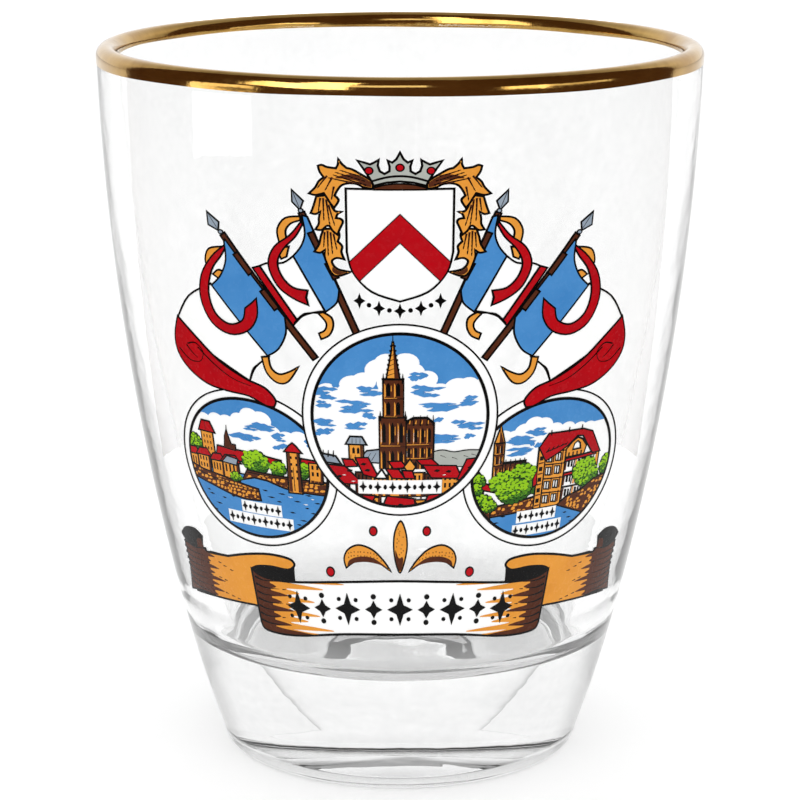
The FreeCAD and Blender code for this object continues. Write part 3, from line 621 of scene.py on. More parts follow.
def tree(x, z, a, b, window):
    # a round crown with a lumpy edge: light dabs on top, dark underneath, black flecks all over
    bulges = int(10 + 6 * a)
    for grow, ink, piece in ((0.07, "black", "linePrint"), (0.0, "darkGreen", "treePrint")):
        paint(piece, ink, grown(disc(x, z, a * 0.9, b * 0.9, 18), grow), window)
        for i in range(bulges):
            turn = i * math.tau / bulges
            size = 0.24 * min(a, b) + 0.05 * math.sin(5 * i)
            paint(piece, ink, disc(x + a * 0.85 * math.cos(turn), z + b * 0.85 * math.sin(turn),
                size + grow, size + grow, 9), window)
    count = int(24 * a * b) + 9
    for i in range(count):
        turn, reach = i * goldenTurn, math.sqrt((i + 0.5) / count)
        px, pz = x + a * reach * math.cos(turn) - 0.04, z + b * reach * math.sin(turn) + 0.05
        size = (0.1 * min(a, b) + 0.09) * dice.uniform(0.8, 1.3)
        lit = (pz - z) / b - 0.3 * (px - x) / a
        if lit > 0.15 or (lit > -0.4 and dice.random() < 0.4):
            paint("treePrint", "lightGreen", disc(px, pz, size * 1.1, size * 0.8, 7), window)
        elif lit > -0.6:
            paint("treePrint", "midGreen", disc(px, pz, size, size * 0.7, 7), window)
    for i in range(count):
        turn, reach = i * goldenTurn + 1, math.sqrt((i + 0.5) / count)
        px, pz = x + a * 0.92 * reach * math.cos(turn), z + b * 0.9 * reach * math.sin(turn) - 0.06
        if pz < z + b * 0.3 or i % 2:
            half = dice.uniform(0.07, 0.14)
            dark([(px - half, pz + 0.03), (px, pz - 0.06), (px + half, pz + 0.01), (px + 0.02, pz + 0.04)],
                window)


def riverView():
    c = medallions["side"]
    x = -c["x"]
    w = medallion(x, c["z"], c["a"], c["b"])
    paint("skyPrint", "blue", block(x - 8, x + 8, 31.9, 36), w)
    puffs("whitePrint", "white", moved(x, [(-5.4, 32.0, 0.8), (-4.3, 31.9, 0.9), (-3.0, 32.1, 0.9),
        (-1.9, 32.1, 0.9), (-0.7, 32.5, 0.85), (0.3, 33.0, 0.9), (1.3, 32.8, 0.95), (0.4, 32.0, 1.0),
        (2.1, 31.8, 0.9), (3.4, 31.5, 0.8), (4.4, 31.6, 0.8), (5.4, 31.4, 0.9), (6.3, 31.7, 0.8)]), w)
    for fx, z, wide, tall, count in ((1.0, 32.2, 2.4, 0.6, 5), (-0.3, 31.2, 2.6, 0.5, 4),
            (2.6, 31.6, 1.5, 0.6, 4), (3.0, 30.8, 1.5, 0.3, 3), (5.4, 31.3, 1.0, 0.6, 3),
            (-3.4, 31.1, 0.9, 0.3, 2)):
        flecks("skyPrint", "blue", x + fx, z, wide, tall, count, w)
    inked("waterPrint", "blue", block(x - 8, x + 8, 21, 28.0), w, 0.1)
    roofTile(moved(x, [(-3.4, 29.2), (-3.2, 30.05), (0.4, 29.95), (2.8, 29.65), (2.8, 28.9)]), w)
    roofTile(moved(x, [(4.3, 28.9), (4.5, 30.0), (5.6, 29.9), (6.2, 29.2), (6.2, 28.7)]), w)
    inked("townWallPrint", "brown", moved(x, [(-2.45, 30.0), (-2.3, 31.0), (-2.05, 31.6), (-1.9, 31.0),
        (-1.7, 30.4), (-1.3, 30.4), (-1.3, 29.9)]), w, 0.09)
    pen([(x - 2.05, 31.5), (x - 2.02, 31.95)], 0.08, 0.03, w)
    tree(x - 5.75, 29.9, 0.85, 0.65, w)
    inked("townWallPrint", "ochre", block(x - 4.85, x - 3.55, 28.6, 31.2), w, 0.12)
    gridOfPanes(x - 4.7, x - 3.7, 29.4, 30.9, 3, 3, w, 0.36, 0.5)
    roofTile(moved(x, [(-5.1, 31.05), (-4.65, 31.95), (-3.75, 31.95), (-3.3, 31.05)]), w)
    pen([(x - 4.3, 31.9), (x - 4.25, 31.2)], 0.06, 0.03, w)
    for hx, wide, top in ((-6.2, 1.3, 28.9), (-4.9, 1.4, 29.0), (-3.4, 1.3, 28.8), (-2.0, 1.6, 28.9)):
        cottage(x + hx - wide / 2, x + hx + wide / 2, 27.3, top, 3, w)
        roofTile([(x + hx - wide * 0.66, top - 0.1), (x + hx - wide * 0.3, top + 0.5),
            (x + hx + wide * 0.35, top + 0.58), (x + hx + wide * 0.66, top - 0.05)], w)
    inked("turretRoofPrint", "steel", moved(x, [(-2.9, 28.75), (-2.3, 29.35), (-1.2, 29.2), (-1.4, 28.65)]),
        w, 0.13)
    tree(x + 0.5, 29.2, 1.25, 0.9, w)
    tree(x + 2.5, 28.9, 0.65, 0.6, w)
    tree(x + 4.6, 28.95, 0.55, 0.7, w)
    rubble("quayWallPrint", moved(x, [(-1.0, 27.5), (-0.4, 28.45), (6.6, 28.1), (6.6, 27.0), (4.4, 27.1),
        (2.9, 27.3), (1.4, 27.75), (0.2, 27.85)]), w)
    pen(moved(x, [(-0.4, 28.25), (3, 28.12), (6.5, 27.9)]), 0.09, 0.06, w)
    inked("townWallPrint", "ochre", moved(x, [(3.25, 27.0), (4.45, 27.0), (4.35, 30.6), (3.35, 30.6)]), w,
        0.14)
    paint("townWallPrint", "brown", moved(x, [(3.33, 27.1), (3.62, 27.1), (3.6, 30.5), (3.42, 30.5)]), w)
    paint("townWallPrint", "brown", moved(x, [(4.1, 27.1), (4.38, 27.1), (4.28, 30.5), (4.15, 30.5)]), w)
    gridOfPanes(x + 3.45, x + 4.3, 28.0, 30.3, 2, 4, w, 0.34, 0.4)
    pen([(x + 3.8, 27.2), (x + 3.8, 29.2)], 0.08, 0.05, w)
    roofTile(moved(x, [(3.1, 30.45), (3.55, 31.0), (3.85, 31.25), (4.15, 31.0), (4.6, 30.45)]), w)
    cottage(x + 5.1, x + 6.2, 28.0, 29.7, 2, w)
    rubble("quayWallPrint", moved(x, [(-7, 28.1), (-5.2, 27.7), (-3.0, 27.5), (-1.2, 27.2), (0.5, 26.95),
        (0.65, 25.95), (-0.9, 25.85), (-2.2, 26.0), (-4.4, 26.5), (-7, 27.0)]), w)
    pen(smooth(moved(x, [(-6.6, 27.55), (-4.4, 27.2), (-2.0, 26.95), (0.5, 26.7)])), 0.1, 0.07, w)
    tree(x - 1.6, 27.65, 0.6, 0.36, w)
    waterDashes(w, moved(x, [(-4.6, 25.7, 0.35), (-5.3, 25.1, 0.3), (-3.9, 25.0, 0.4), (-3.2, 25.6, 0.25),
        (-4.4, 24.4, 0.3), (1.6, 26.4, 0.4), (1.1, 26.9, 0.3), (2.6, 26.8, 0.35), (3.9, 26.3, 0.35),
        (4.9, 26.9, 0.3), (5.6, 26.3, 0.3), (3.4, 25.3, 0.3), (4.3, 24.7, 0.35), (3.9, 24.3, 0.25),
        (2.3, 26.1, 0.25), (5.2, 25.4, 0.25), (-2.2, 25.9, 0.2), (4.7, 25.8, 0.2), (-4.9, 26.0, 0.25)]))
    waterDashes(w, moved(x, [(3.3, 26.6, 0.3), (4.6, 26.1, 0.3), (5.2, 26.6, 0.2)]), "white", "whitePrint")
    plate(x + 0.5, 25.25, 3.9, 1.05, 7, w)
    plate(x + 0.2, 24.15, 6.4, 1.1, 11, w)


def gardenView():
    c = medallions["side"]
    x = c["x"]
    w = medallion(x, c["z"], c["a"], c["b"])
    paint("skyPrint", "blue", block(x - 8, x + 8, 31.9, 36), w)
    puffs("whitePrint", "white", moved(x, [(-6.0, 31.6, 0.7), (-5.2, 32.0, 0.8), (-4.3, 31.6, 0.9),
        (-3.3, 31.5, 0.9), (-2.5, 32.0, 0.9), (-1.7, 32.5, 0.85), (-0.9, 32.3, 0.9), (0.2, 31.8, 0.8),
        (1.4, 31.7, 0.8), (2.6, 31.5, 0.8), (3.6, 31.3, 0.9), (4.7, 31.0, 0.9), (5.8, 30.8, 0.9),
        (-2.6, 31.0, 1.0)]), w)
    for fx, z, wide, tall, count in ((-1.4, 31.9, 1.7, 0.6, 4), (-3.1, 31.3, 2.3, 0.6, 5),
            (-3.0, 30.4, 2.2, 0.6, 4), (-6.2, 30.1, 1.0, 0.5, 3), (-1.5, 30.8, 1.0, 0.4, 3)):
        flecks("skyPrint", "blue", x + fx, z, wide, tall, count, w)
    inked("waterPrint", "blue", block(x - 8, x + 8, 21, 25.6), w, 0.1)
    rubble("quayWallPrint", moved(x, [(-5.2, 25.0), (-4.6, 25.9), (-1.0, 26.4), (0.2, 26.3), (0.2, 25.2),
        (-2.6, 25.2)]), w)
    inked("churchStonePrint", "ochre", moved(x, [(-4.95, 28.0), (-4.95, 31.3), (-4.6, 32.4), (-4.5, 32.9),
        (-4.4, 32.4), (-4.1, 31.3), (-4.1, 28.0)]), w, 0.12)
    paint("churchStonePrint", "brown", moved(x, [(-4.6, 28.0), (-4.55, 32.5), (-4.18, 31.3),
        (-4.18, 28.0)]), w)
    for z in (29.4, 30.3, 31.3):
        pen([(x - 5.0, z), (x - 4.05, z)], 0.13, 0.13, w)
    lancets(x - 4.85, x - 4.18, 28.2, 29.4, 2, 1, w)
    lancets(x - 4.85, x - 4.18, 29.45, 31.25, 2, 2, w)
    pen([(x - 4.5, 32.7), (x - 4.5, 33.4)], 0.1, 0.04, w)
    dark(grown(block(x - 4.1, x - 2.2, 28.0, 29.6), 0.08), w)
    lancets(x - 4.1, x - 2.2, 28.0, 29.5, 5, 1, w)
    for i in range(5):
        pen([(x - 3.9 + i * 0.4, 29.3), (x - 3.9 + i * 0.4, 29.85)], 0.12, 0.03, w)
    rubble("townWallPrint", moved(x, [(-6.9, 25.0), (-6.9, 29.0), (-6.2, 29.2), (-5.6, 28.3), (-5.6, 26.6),
        (-4.9, 26.1), (-4.9, 24.8)]), w)
    roofTile(moved(x, [(-5.9, 27.5), (-5.7, 28.1), (-4.7, 27.6), (-4.5, 27.1)]), w)
    for tx, z, a, b in ((-3.9, 27.9, 1.2, 0.9), (-2.4, 28.4, 1.1, 0.9), (-1.6, 27.8, 1.0, 1.1),
            (-3.0, 27.1, 1.5, 1.0), (-6.2, 28.2, 0.7, 0.6), (-6.3, 27.4, 0.6, 0.6), (-5.6, 26.4, 0.9, 0.55),
            (-5.0, 26.0, 0.6, 0.5)):
        tree(x + tx, z, a, b, w)
    timberHouse(x, w)
    tree(x + 3.8, 27.9, 1.3, 0.95, w)
    tree(x + 4.2, 27.2, 1.3, 0.8, w)
    tree(x + 6.3, 27.9, 0.7, 0.8, w)
    rubble("quayWallPrint", moved(x, [(1.2, 25.3), (2.2, 25.9), (3.6, 26.2), (5.0, 26.9), (7, 27.2),
        (7, 23.4), (4.6, 24.0), (3.0, 24.6)]), w)
    waterDashes(w, moved(x, [(-4.4, 24.5, 0.35), (-3.8, 25.0, 0.3), (-4.1, 23.9, 0.3), (2.7, 24.0, 0.3),
        (3.1, 23.6, 0.35), (2.2, 24.5, 0.25), (-2.0, 23.2, 0.3), (1.4, 22.9, 0.3)]))
    plate(x - 0.65, 24.75, 3.8, 1.05, 7, w)
    plate(x - 0.45, 23.6, 4.8, 1.05, 9, w)


def timberHouse(x, w):
    # a half-timbered house with a hipped roof and a lit dormer
    wall = moved(x, [(-1.1, 25.3), (-1.1, 30.5), (-0.5, 30.2), (4.4, 30.4), (5.2, 29.1), (5.2, 25.3)])
    inked("townWallPrint", "ochre", wall, w, 0.15)
    paint("whitePrint", "white", moved(x, [(1.5, 25.6), (1.5, 30.0), (4.3, 30.2), (4.9, 29.0),
        (4.9, 25.6)]), w)
    for z0 in (25.6, 26.8, 28.0, 29.1):  # the side wall, in shade
        for k in range(2):
            a = x - 0.3 + k * 0.85
            inked("whitePrint", "white", [(a, z0 + 0.1), (a + 0.5, z0 + 0.02), (a + 0.5, z0 + 0.7),
                (a, z0 + 0.75)], w, 0.1)
            pen([(a + 0.25, z0 + 0.08), (a + 0.25, z0 + 0.72)], 0.09, 0.09, w)
            paint("townWallPrint", "brown", brush([(a + 0.65, z0), (a + 0.65, z0 + 1.0)], 0.16, 0.12), w)
        pen([(x - 0.45, z0 + 0.98), (x + 1.5, z0 + 0.85)], 0.13, 0.1, w)
    for z in (25.8, 26.7, 27.6, 28.5, 29.4):
        dark(block(x - 0.95, x - 0.62, z, z + 0.36), w)
        paint("townWallPrint", "brown", brush([(x - 1.0, z - 0.25), (x - 0.55, z - 0.2)], 0.14, 0.1), w)
    pen([(x - 0.45, 25.3), (x - 0.45, 29.8)], 0.15, 0.13, w)
    pen([(x + 1.5, 25.3), (x + 1.5, 29.9)], 0.16, 0.14, w)
    for z0, z1 in ((25.7, 26.7), (26.9, 27.9), (28.2, 29.1)):  # the front, in timber frames
        for k in range(3):
            a = x + 1.75 + k * 1.05
            paint("townWallPrint", "ochre" if k % 2 else "brown",
                brush([(a - 0.12, z0), (a - 0.05, z1)], 0.14, 0.1), w)
            dark([(a + 0.12, z0 + 0.25), (a + 0.3, z0 + 0.2), (a + 0.32, z1 - 0.2), (a + 0.12, z1 - 0.15)], w)
            dark([(a + 0.45, z0 + 0.2), (a + 0.6, z0 + 0.2), (a + 0.6, z1 - 0.22), (a + 0.47, z1 - 0.2)], w)
            pen([(a + 0.68, z0), (a + 0.85, z1)], 0.08, 0.06, w)
        pen([(x + 1.5, z1 + 0.05), (x + 4.9, z1 - 0.05)], 0.14, 0.1, w)
    roofTile(moved(x, [(1.45, 28.95), (1.6, 29.2), (4.6, 29.3), (4.9, 29.05)]), w)
    roofTile(moved(x, [(1.45, 27.7), (1.6, 27.95), (3.6, 28.0), (3.8, 27.75)]), w)
    roof = moved(x, [(-1.1, 30.5), (-0.3, 31.6), (3.0, 31.5), (4.1, 31.1), (5.3, 29.2), (4.4, 29.2),
        (3.6, 30.2), (3.1, 30.9), (2.5, 31.0), (1.6, 30.3), (0.9, 29.9), (-0.4, 29.3)])
    roofTile(roof, w)
    dormer = moved(x, [(1.5, 29.3), (1.5, 30.0), (2.1, 30.6), (2.6, 30.85), (3.1, 30.6), (3.6, 30.0),
        (3.4, 29.3)])
    inked("townWallPrint", "ochre", dormer, w, 0.16)
    inked("whitePrint", "white", moved(x, [(2.15, 29.85), (2.3, 30.35), (2.6, 30.55), (2.9, 30.3),
        (3.0, 29.85)]), w, 0.13)
    for k in range(4):
        a = x + 1.75 + k * 0.42
        dark(block(a, a + 0.16, 29.38, 29.68), w)
    for i in range(5):  # snow guards and hooks on the tiles
        a = x - 0.3 + i * 0.42
        pen([(a, 30.15 + i * 0.06), (a + 0.18, 30.4 + i * 0.06)], 0.14, 0.05, w)
    pen([(x - 0.45, 30.05), (x + 1.4, 30.5)], 0.12, 0.08, w)
    for a in (x - 0.1, x + 1.6, x + 2.9):
        pen([(a, 31.4), (a + 0.02, 31.85)], 0.14, 0.06, w)
    roofTile(moved(x, [(-1.4, 27.9), (-1.1, 28.6), (-1.0, 27.4), (-1.35, 27.2)]), w)


def sided(side, points):
    return points if side < 0 else mirrored(points)


def drawFlags(side):
    def s(points):
        return sided(side, points)

    def part(piece, ink, outline, line=0.15):
        inked(piece, ink, s(outline), None, line)

    # outer flag: pole, cloth, rolled tail, ribbons, spearhead
    part("polePrint", "brown", brush([(-12.9, 47.6), (-6.1, 38.35)], 0.46))
    part("ribbonGoldPrint", "ochre", shape((-13.0, 46.6), [(-14.2, 46.3), (-14.6, 45.4), (-14.4, 44.7)],
        [(-14.0, 44.95)], [(-13.9, 45.6), (-13.0, 46.3)]))
    part("ribbonGoldPrint", "ochre", shape((-14.0, 44.3), [(-13.3, 44.0), (-13.0, 44.6)],
        [(-13.5, 44.7), (-14.0, 44.3)]))
    part("whitePrint", "white", shape((-14.3, 43.5), [(-16.6, 42.2), (-18.1, 40.2)], [(-14.8, 37.7)],
        [(-11.5, 36.0)], [(-10.9, 37.2), (-9.7, 38.2)], [(-14.1, 43.3)]))
    part("flagRedPrint", "red", shape((-18.1, 40.3), [(-16.4, 39.0), (-14.2, 37.3), (-11.9, 36.15),
        (-10.3, 35.6), (-9.45, 34.7), (-9.6, 34.1)], [(-10.3, 34.15), (-11.7, 34.75), (-13.6, 34.9),
        (-15.6, 35.2), (-17.4, 36.1), (-18.5, 37.3), (-18.65, 38.7), (-18.1, 40.3)]))
    for fold in ([(-16.2, 38.1), (-14.6, 36.9), (-13.0, 36.0), (-11.4, 35.6)],
            [(-17.3, 38.2), (-16.4, 38.4), (-15.7, 37.8), (-16.0, 37.0), (-16.9, 36.8)],
            [(-17.4, 38.1), (-16.9, 37.6), (-16.3, 37.2)], [(-18.3, 37.7), (-17.2, 36.9), (-16.2, 36.9)]):
        pen(s(smooth(fold)), 0.13, 0.05)
    part("flagBluePrint", "blue", shape((-12.7, 47.2), [(-8.25, 41.5)],
        [(-8.25, 40.2), (-8.9, 38.9), (-9.8, 38.25)], [(-14.2, 43.4)],
        [(-13.3, 44.3), (-12.75, 45.6), (-12.8, 47.0)]))
    for a, b in (((-11.9, 46.2), (-10.75, 44.7)), ((-9.9, 43.5), (-8.85, 42.1))):
        part("polePrint", "brown", brush([a, b], 0.44))
    part("ribbonRedPrint", "red", shape((-12.85, 46.7), [(-14.0, 45.7), (-15.1, 44.1), (-15.35, 42.2),
        (-14.5, 40.4), (-12.9, 39.65), (-11.3, 40.1), (-10.45, 41.3), (-10.4, 42.8)], [(-10.8, 42.4)],
        [(-11.4, 41.9)], [(-11.7, 40.9), (-12.9, 40.45), (-14.1, 41.2), (-14.55, 42.8), (-14.1, 44.6),
        (-13.2, 45.8), (-12.75, 46.5)]), 0.14)
    part("ribbonGoldPrint", "ochre", shape((-10.3, 38.1), [(-10.0, 36.9), (-9.2, 36.15), (-8.3, 36.3),
        (-7.4, 37.6)], [(-8.2, 37.1), (-9.0, 36.85), (-9.6, 37.3), (-9.75, 38.2)]))
    pen(s(smooth([(-10.3, 37.7), (-11.1, 37.1), (-11.5, 36.1)])), 0.1, 0.06)
    part("spearheadPrint", "steel", [(-14.15, 49.2), (-14.1, 48.2), (-13.25, 47.85), (-13.15, 48.5)], 0.13)
    pen(s([(-14.0, 49.0), (-13.3, 48.0)]), 0.05, 0.05)
    part("spearheadPrint", "steel", disc(-13.05, 47.75, 0.2, 0.16, 10), 0.1)

    # inner flag
    part("polePrint", "brown", brush([(-6.7, 49.8), (-2.95, 40.3)], 0.44))
    part("ribbonGoldPrint", "ochre", shape((-6.8, 49.5), [(-7.9, 49.3), (-8.5, 48.4), (-8.4, 47.4)],
        [(-7.8, 47.5)], [(-7.9, 48.3), (-7.5, 48.9), (-6.8, 49.2)]))
    part("ribbonGoldPrint", "ochre", shape((-8.6, 46.9), [(-8.3, 46.1)], [(-7.9, 46.3)], [(-7.7, 47.1)]))
    part("flagRedPrint", "red", [(-10.55, 45.2), (-10.0, 45.4), (-7.3, 41.3), (-7.65, 40.9)])
    part("whitePrint", "white", shape((-10.0, 45.4), [(-9.3, 45.7), (-8.2, 45.8), (-7.4, 46.4)],
        [(-5.25, 42.2)], [(-6.2, 42.0), (-6.9, 41.7), (-7.3, 41.3)]))
    part("flagBluePrint", "blue", shape((-6.65, 49.6), [(-6.3, 49.5)], [(-4.2, 43.9)],
        [(-4.4, 42.9), (-5.2, 42.15)], [(-7.4, 46.4)], [(-6.8, 47.2), (-6.5, 48.2), (-6.65, 49.4)]))
    for a, b in (((-6.1, 48.3), (-5.55, 47.0)), ((-4.95, 46.0), (-4.4, 44.8))):
        part("polePrint", "brown", brush([a, b], 0.42))
    part("ribbonRedPrint", "red", shape((-6.75, 49.1), [(-7.6, 48.0), (-8.8, 47.0), (-9.3, 45.6),
        (-8.7, 44.0), (-7.6, 43.1), (-6.45, 42.6)], [(-6.6, 43.2)], [(-6.45, 43.75)],
        [(-7.5, 43.9), (-8.3, 44.7), (-8.6, 45.8), (-8.1, 46.9), (-7.2, 47.9), (-6.65, 48.9)]), 0.14)
    part("ribbonGoldPrint", "ochre", shape((-5.4, 42.1), [(-4.8, 41.7), (-4.7, 41.0), (-5.0, 40.3),
        (-5.6, 39.95)], [(-5.75, 40.4)], [(-5.3, 40.7), (-5.2, 41.3), (-5.75, 42.0)]))
    pen(s(smooth([(-5.7, 42.0), (-6.8, 41.9), (-7.6, 41.1)])), 0.1, 0.06)
    part("spearheadPrint", "steel", [(-7.35, 51.5), (-7.35, 50.6), (-6.8, 50.0), (-6.55, 50.7)], 0.13)
    pen(s([(-7.25, 51.3), (-6.85, 50.2)]), 0.05, 0.05)
    part("spearheadPrint", "steel", disc(-6.75, 49.95, 0.17, 0.15, 10), 0.1)


def drawLeaves(side):
    # the leaf scroll beside the shield, in three lobes, each with its hatching
    lobes = [
        shape((-5.19, 48.6), [(-5.38, 48.01), (-5.51, 47.43), (-5.86, 46.84)],
              [(-5.45, 46.77), (-5.12, 47.0)],
              [(-5.15, 46.5), (-4.98, 45.9), (-4.77, 45.35), (-4.46, 45.03), (-3.98, 45.08), (-3.38, 45.36)],
              [(-3.8, 45.42), (-4.25, 45.54), (-4.55, 45.82), (-4.64, 46.18), (-4.3, 46.42), (-3.8, 46.33)],
              [(-3.98, 46.88), (-3.92, 47.33), (-4.22, 47.7)], [(-4.09, 48.15), (-4.22, 48.7)]),
        shape((-5.62, 51.1), [(-5.85, 50.3), (-6.04, 49.8)], [(-5.7, 49.74), (-5.38, 49.93)],
              [(-5.48, 49.43), (-5.5, 49.0), (-5.74, 48.56)],
              [(-5.31, 48.54), (-4.94, 48.87), (-4.73, 48.85)], [(-4.54, 48.5), (-4.22, 48.22)],
              [(-4.04, 48.7), (-3.84, 49.2), (-3.98, 49.43), (-4.3, 49.49)], [(-4.19, 49.8), (-3.92, 49.98)],
              [(-4.3, 50.0), (-4.51, 50.25), (-4.73, 50.8), (-5.0, 51.2)]),
        shape((-1.78, 52.3), [(-2.12, 52.57), (-2.69, 52.94), (-3.17, 53.23), (-3.52, 53.32)],
              [(-3.84, 53.62), (-4.08, 53.98)],
              [(-4.1, 53.6), (-4.25, 53.28)], [(-4.86, 53.36), (-5.2, 53.5), (-5.46, 53.42)],
              [(-5.35, 52.99), (-5.08, 52.57)], [(-5.43, 52.26), (-5.67, 51.8), (-6.12, 51.3)],
              [(-5.67, 51.2), (-5.1, 51.37)], [(-4.88, 51.0), (-4.67, 50.62), (-4.41, 50.28)],
              [(-4.1, 50.85), (-4.36, 51.2)], [(-4.22, 51.53), (-3.9, 51.99), (-3.41, 52.17),
              (-2.85, 52.13), (-2.41, 51.9), (-1.8, 51.78)]),
    ]
    for lobe in lobes:
        inked("leafPrint", "ochre", sided(side, lobe), None, 0.17)
    crest = [sided(side, grown(lobes[2], -0.1))]
    paint("leafPrint", "brown", sided(side, smooth([(-1.7, 51.95), (-2.1, 52.45), (-2.9, 52.85),
        (-3.7, 52.8), (-4.3, 52.55), (-3.6, 52.5), (-2.8, 52.35), (-2.3, 51.95)], True)), crest)
    paint("leafPrint", "brown", sided(side, smooth([(-4.5, 45.85), (-4.65, 45.4), (-4.3, 45.12),
        (-3.8, 45.2), (-3.6, 45.32), (-4.1, 45.4)], True)), [sided(side, grown(lobes[0], -0.09))])
    rows = [  # where the hatching starts and ends, the marks in it, and their length
        ((-2.2, 52.05), (-4.4, 52.75), 9, (-0.25, 0.1)), ((-2.3, 52.35), (-4.2, 52.95), 8, (-0.25, 0.08)),
        ((-2.6, 52.7), (-4.0, 53.15), 5, (-0.22, 0.08)), ((-3.1, 52.2), (-4.7, 52.55), 6, (-0.25, 0.02)),
        ((-4.5, 52.6), (-5.0, 51.6), 4, (-0.12, -0.2)), ((-4.85, 52.7), (-5.5, 51.8), 4, (-0.14, -0.2)),
        ((-4.4, 51.9), (-4.6, 50.9), 4, (-0.02, -0.22)),
        ((-5.35, 51.0), (-5.5, 50.0), 4, (-0.04, -0.24)), ((-5.15, 51.0), (-5.15, 49.3), 5, (0.02, -0.27)),
        ((-4.95, 50.9), (-4.75, 49.0), 6, (0.04, -0.27)),
        ((-4.8, 50.5), (-4.4, 48.9), 4, (0.06, -0.25)),
        ((-5.1, 48.4), (-5.2, 47.2), 4, (-0.04, -0.24)), ((-4.9, 48.5), (-4.9, 46.6), 6, (0.0, -0.27)),
        ((-4.7, 48.4), (-4.6, 46.7), 5, (0.03, -0.27)),
        ((-4.5, 48.3), (-4.3, 47.1), 4, (0.05, -0.24)),
    ]
    for start, end, count, lean in rows:
        paint("leafPrint", "brown", brush(sided(side, [start,
            ((start[0] + end[0]) / 2, (start[1] + end[1]) / 2), end]), 0.16, 0.05))
        for k in range(count):
            t = (k + 0.3 + dice.uniform(-0.2, 0.2)) / count
            x, z = start[0] + (end[0] - start[0]) * t, start[1] + (end[1] - start[1]) * t
            pen(sided(side, [(x, z), (x + lean[0] * 0.5 + 0.02, z + lean[1] * 0.5),
                (x + lean[0], z + lean[1])]), 0.12, 0.04)


def shieldOutline(grow):
    half = 3.6 + grow
    left = smooth([(-half, 46.9), (-3.2 - grow * 0.9, 45.3), (-1.95 - grow * 0.6, 43.85 - grow * 0.8),
        (0, 43.1 - grow)])
    right = mirrored(left)[::-1]
    return [(-half, 51.75 + grow)] + left + right[1:] + [(half, 51.75 + grow)]


def drawShield():
    for side in (-1, 1):
        drawLeaves(side)
    dark(shieldOutline(0.09))
    field = shieldOutline(-0.07)
    paint("whitePrint", "white", field)
    dark([(-5, 44.5), (0, 49.9), (5, 44.5), (5, 42.2), (0, 47.6), (-5, 42.2)], [field])
    paint("shieldChevronPrint", "red", [(-5, 44.4), (0, 49.8), (5, 44.4), (5, 42.3), (0, 47.7), (-5, 42.3)],
        [field])
    cap = shape((-1.75, 51.72), [(-1.75, 51.86)], [(-0.9, 52.1), (0, 52.18), (0.9, 52.1), (1.75, 51.86)],
        [(1.75, 51.72)])
    inked("crownCapPrint", "brown", cap, None, 0.12)
    half = [(-1.75, 52.02), (-1.85, 52.3), (-2.15, 52.86), (-2.41, 53.3), (-2.8, 53.9), (-2.36, 53.76),
        (-1.96, 53.63), (-1.64, 53.81), (-1.4, 53.98), (-1.46, 53.54), (-1.33, 53.12), (-1.02, 52.92),
        (-0.7, 53.12), (-0.68, 53.48), (-0.8, 53.92), (-0.51, 53.78), (-0.24, 54.03)]
    crown = half + [(0, 54.53)] + mirrored(half)[::-1] + [(0.9, 52.27), (0, 52.36), (-0.9, 52.27)]
    inked("crownPrint", "grey", crown, None, 0.17)
    pen(smooth([(-1.86, 52.36), (-0.9, 52.66), (0, 52.76), (0.9, 52.66), (1.86, 52.36)]), 0.17, 0.17)
    for x, z in ((-2.05, 53.15), (0, 53.4), (2.05, 53.15)):
        inked("jewelPrint", "red", disc(x, z, 0.27, 0.27, 14), None, 0.11)
    for i in range(9):  # a row of small stars below the shield
        turn = math.radians(-30 + i * 7.5)
        x, z = 5.6 * math.sin(turn), 48.05 - 5.7 * math.cos(turn)
        outline = star(x, z, 0.42, 0.62, 0.45) if i % 2 == 0 else disc(x, z, 0.17, 0.18, 10)
        dark(outline)


def tongues(piece, ink, side, root, reaches, z0, z1, window):
    # shading that runs out of a fold in long flat tongues
    pitch = (z1 - z0) / len(reaches)
    for i, reach in enumerate(reaches):
        z = z0 + pitch * (i + 0.5)
        thick = pitch * 0.62
        tip = root + reach
        mark = smooth([(root - 0.6, z - thick), (root + reach * 0.55, z - thick * 0.45), (tip, z - 0.03),
            (root + reach * 0.62, z + thick * 0.35), (root + reach * 0.2, z + thick * 0.55),
            (root - 0.6, z + thick)])
        paint(piece, ink, sided(side, mark), window)


def folds(side, x0, x1, z0, z1, count, window):
    # the pen's lines across a fold
    for i in range(count):
        z = z0 + (z1 - z0) * (i + 0.5) / count
        end = x1 + dice.uniform(-0.5, 0.35)
        pen(sided(side, smooth([(x0, z + 0.1), (x0 + (end - x0) * 0.4, z - 0.1), (end, z - 0.02)])), 0.2,
            0.03, window)
        if i % 2:
            pen(sided(side, [(end + 0.3, z), (end + 0.65, z + 0.02)]), 0.11, 0.05, window)


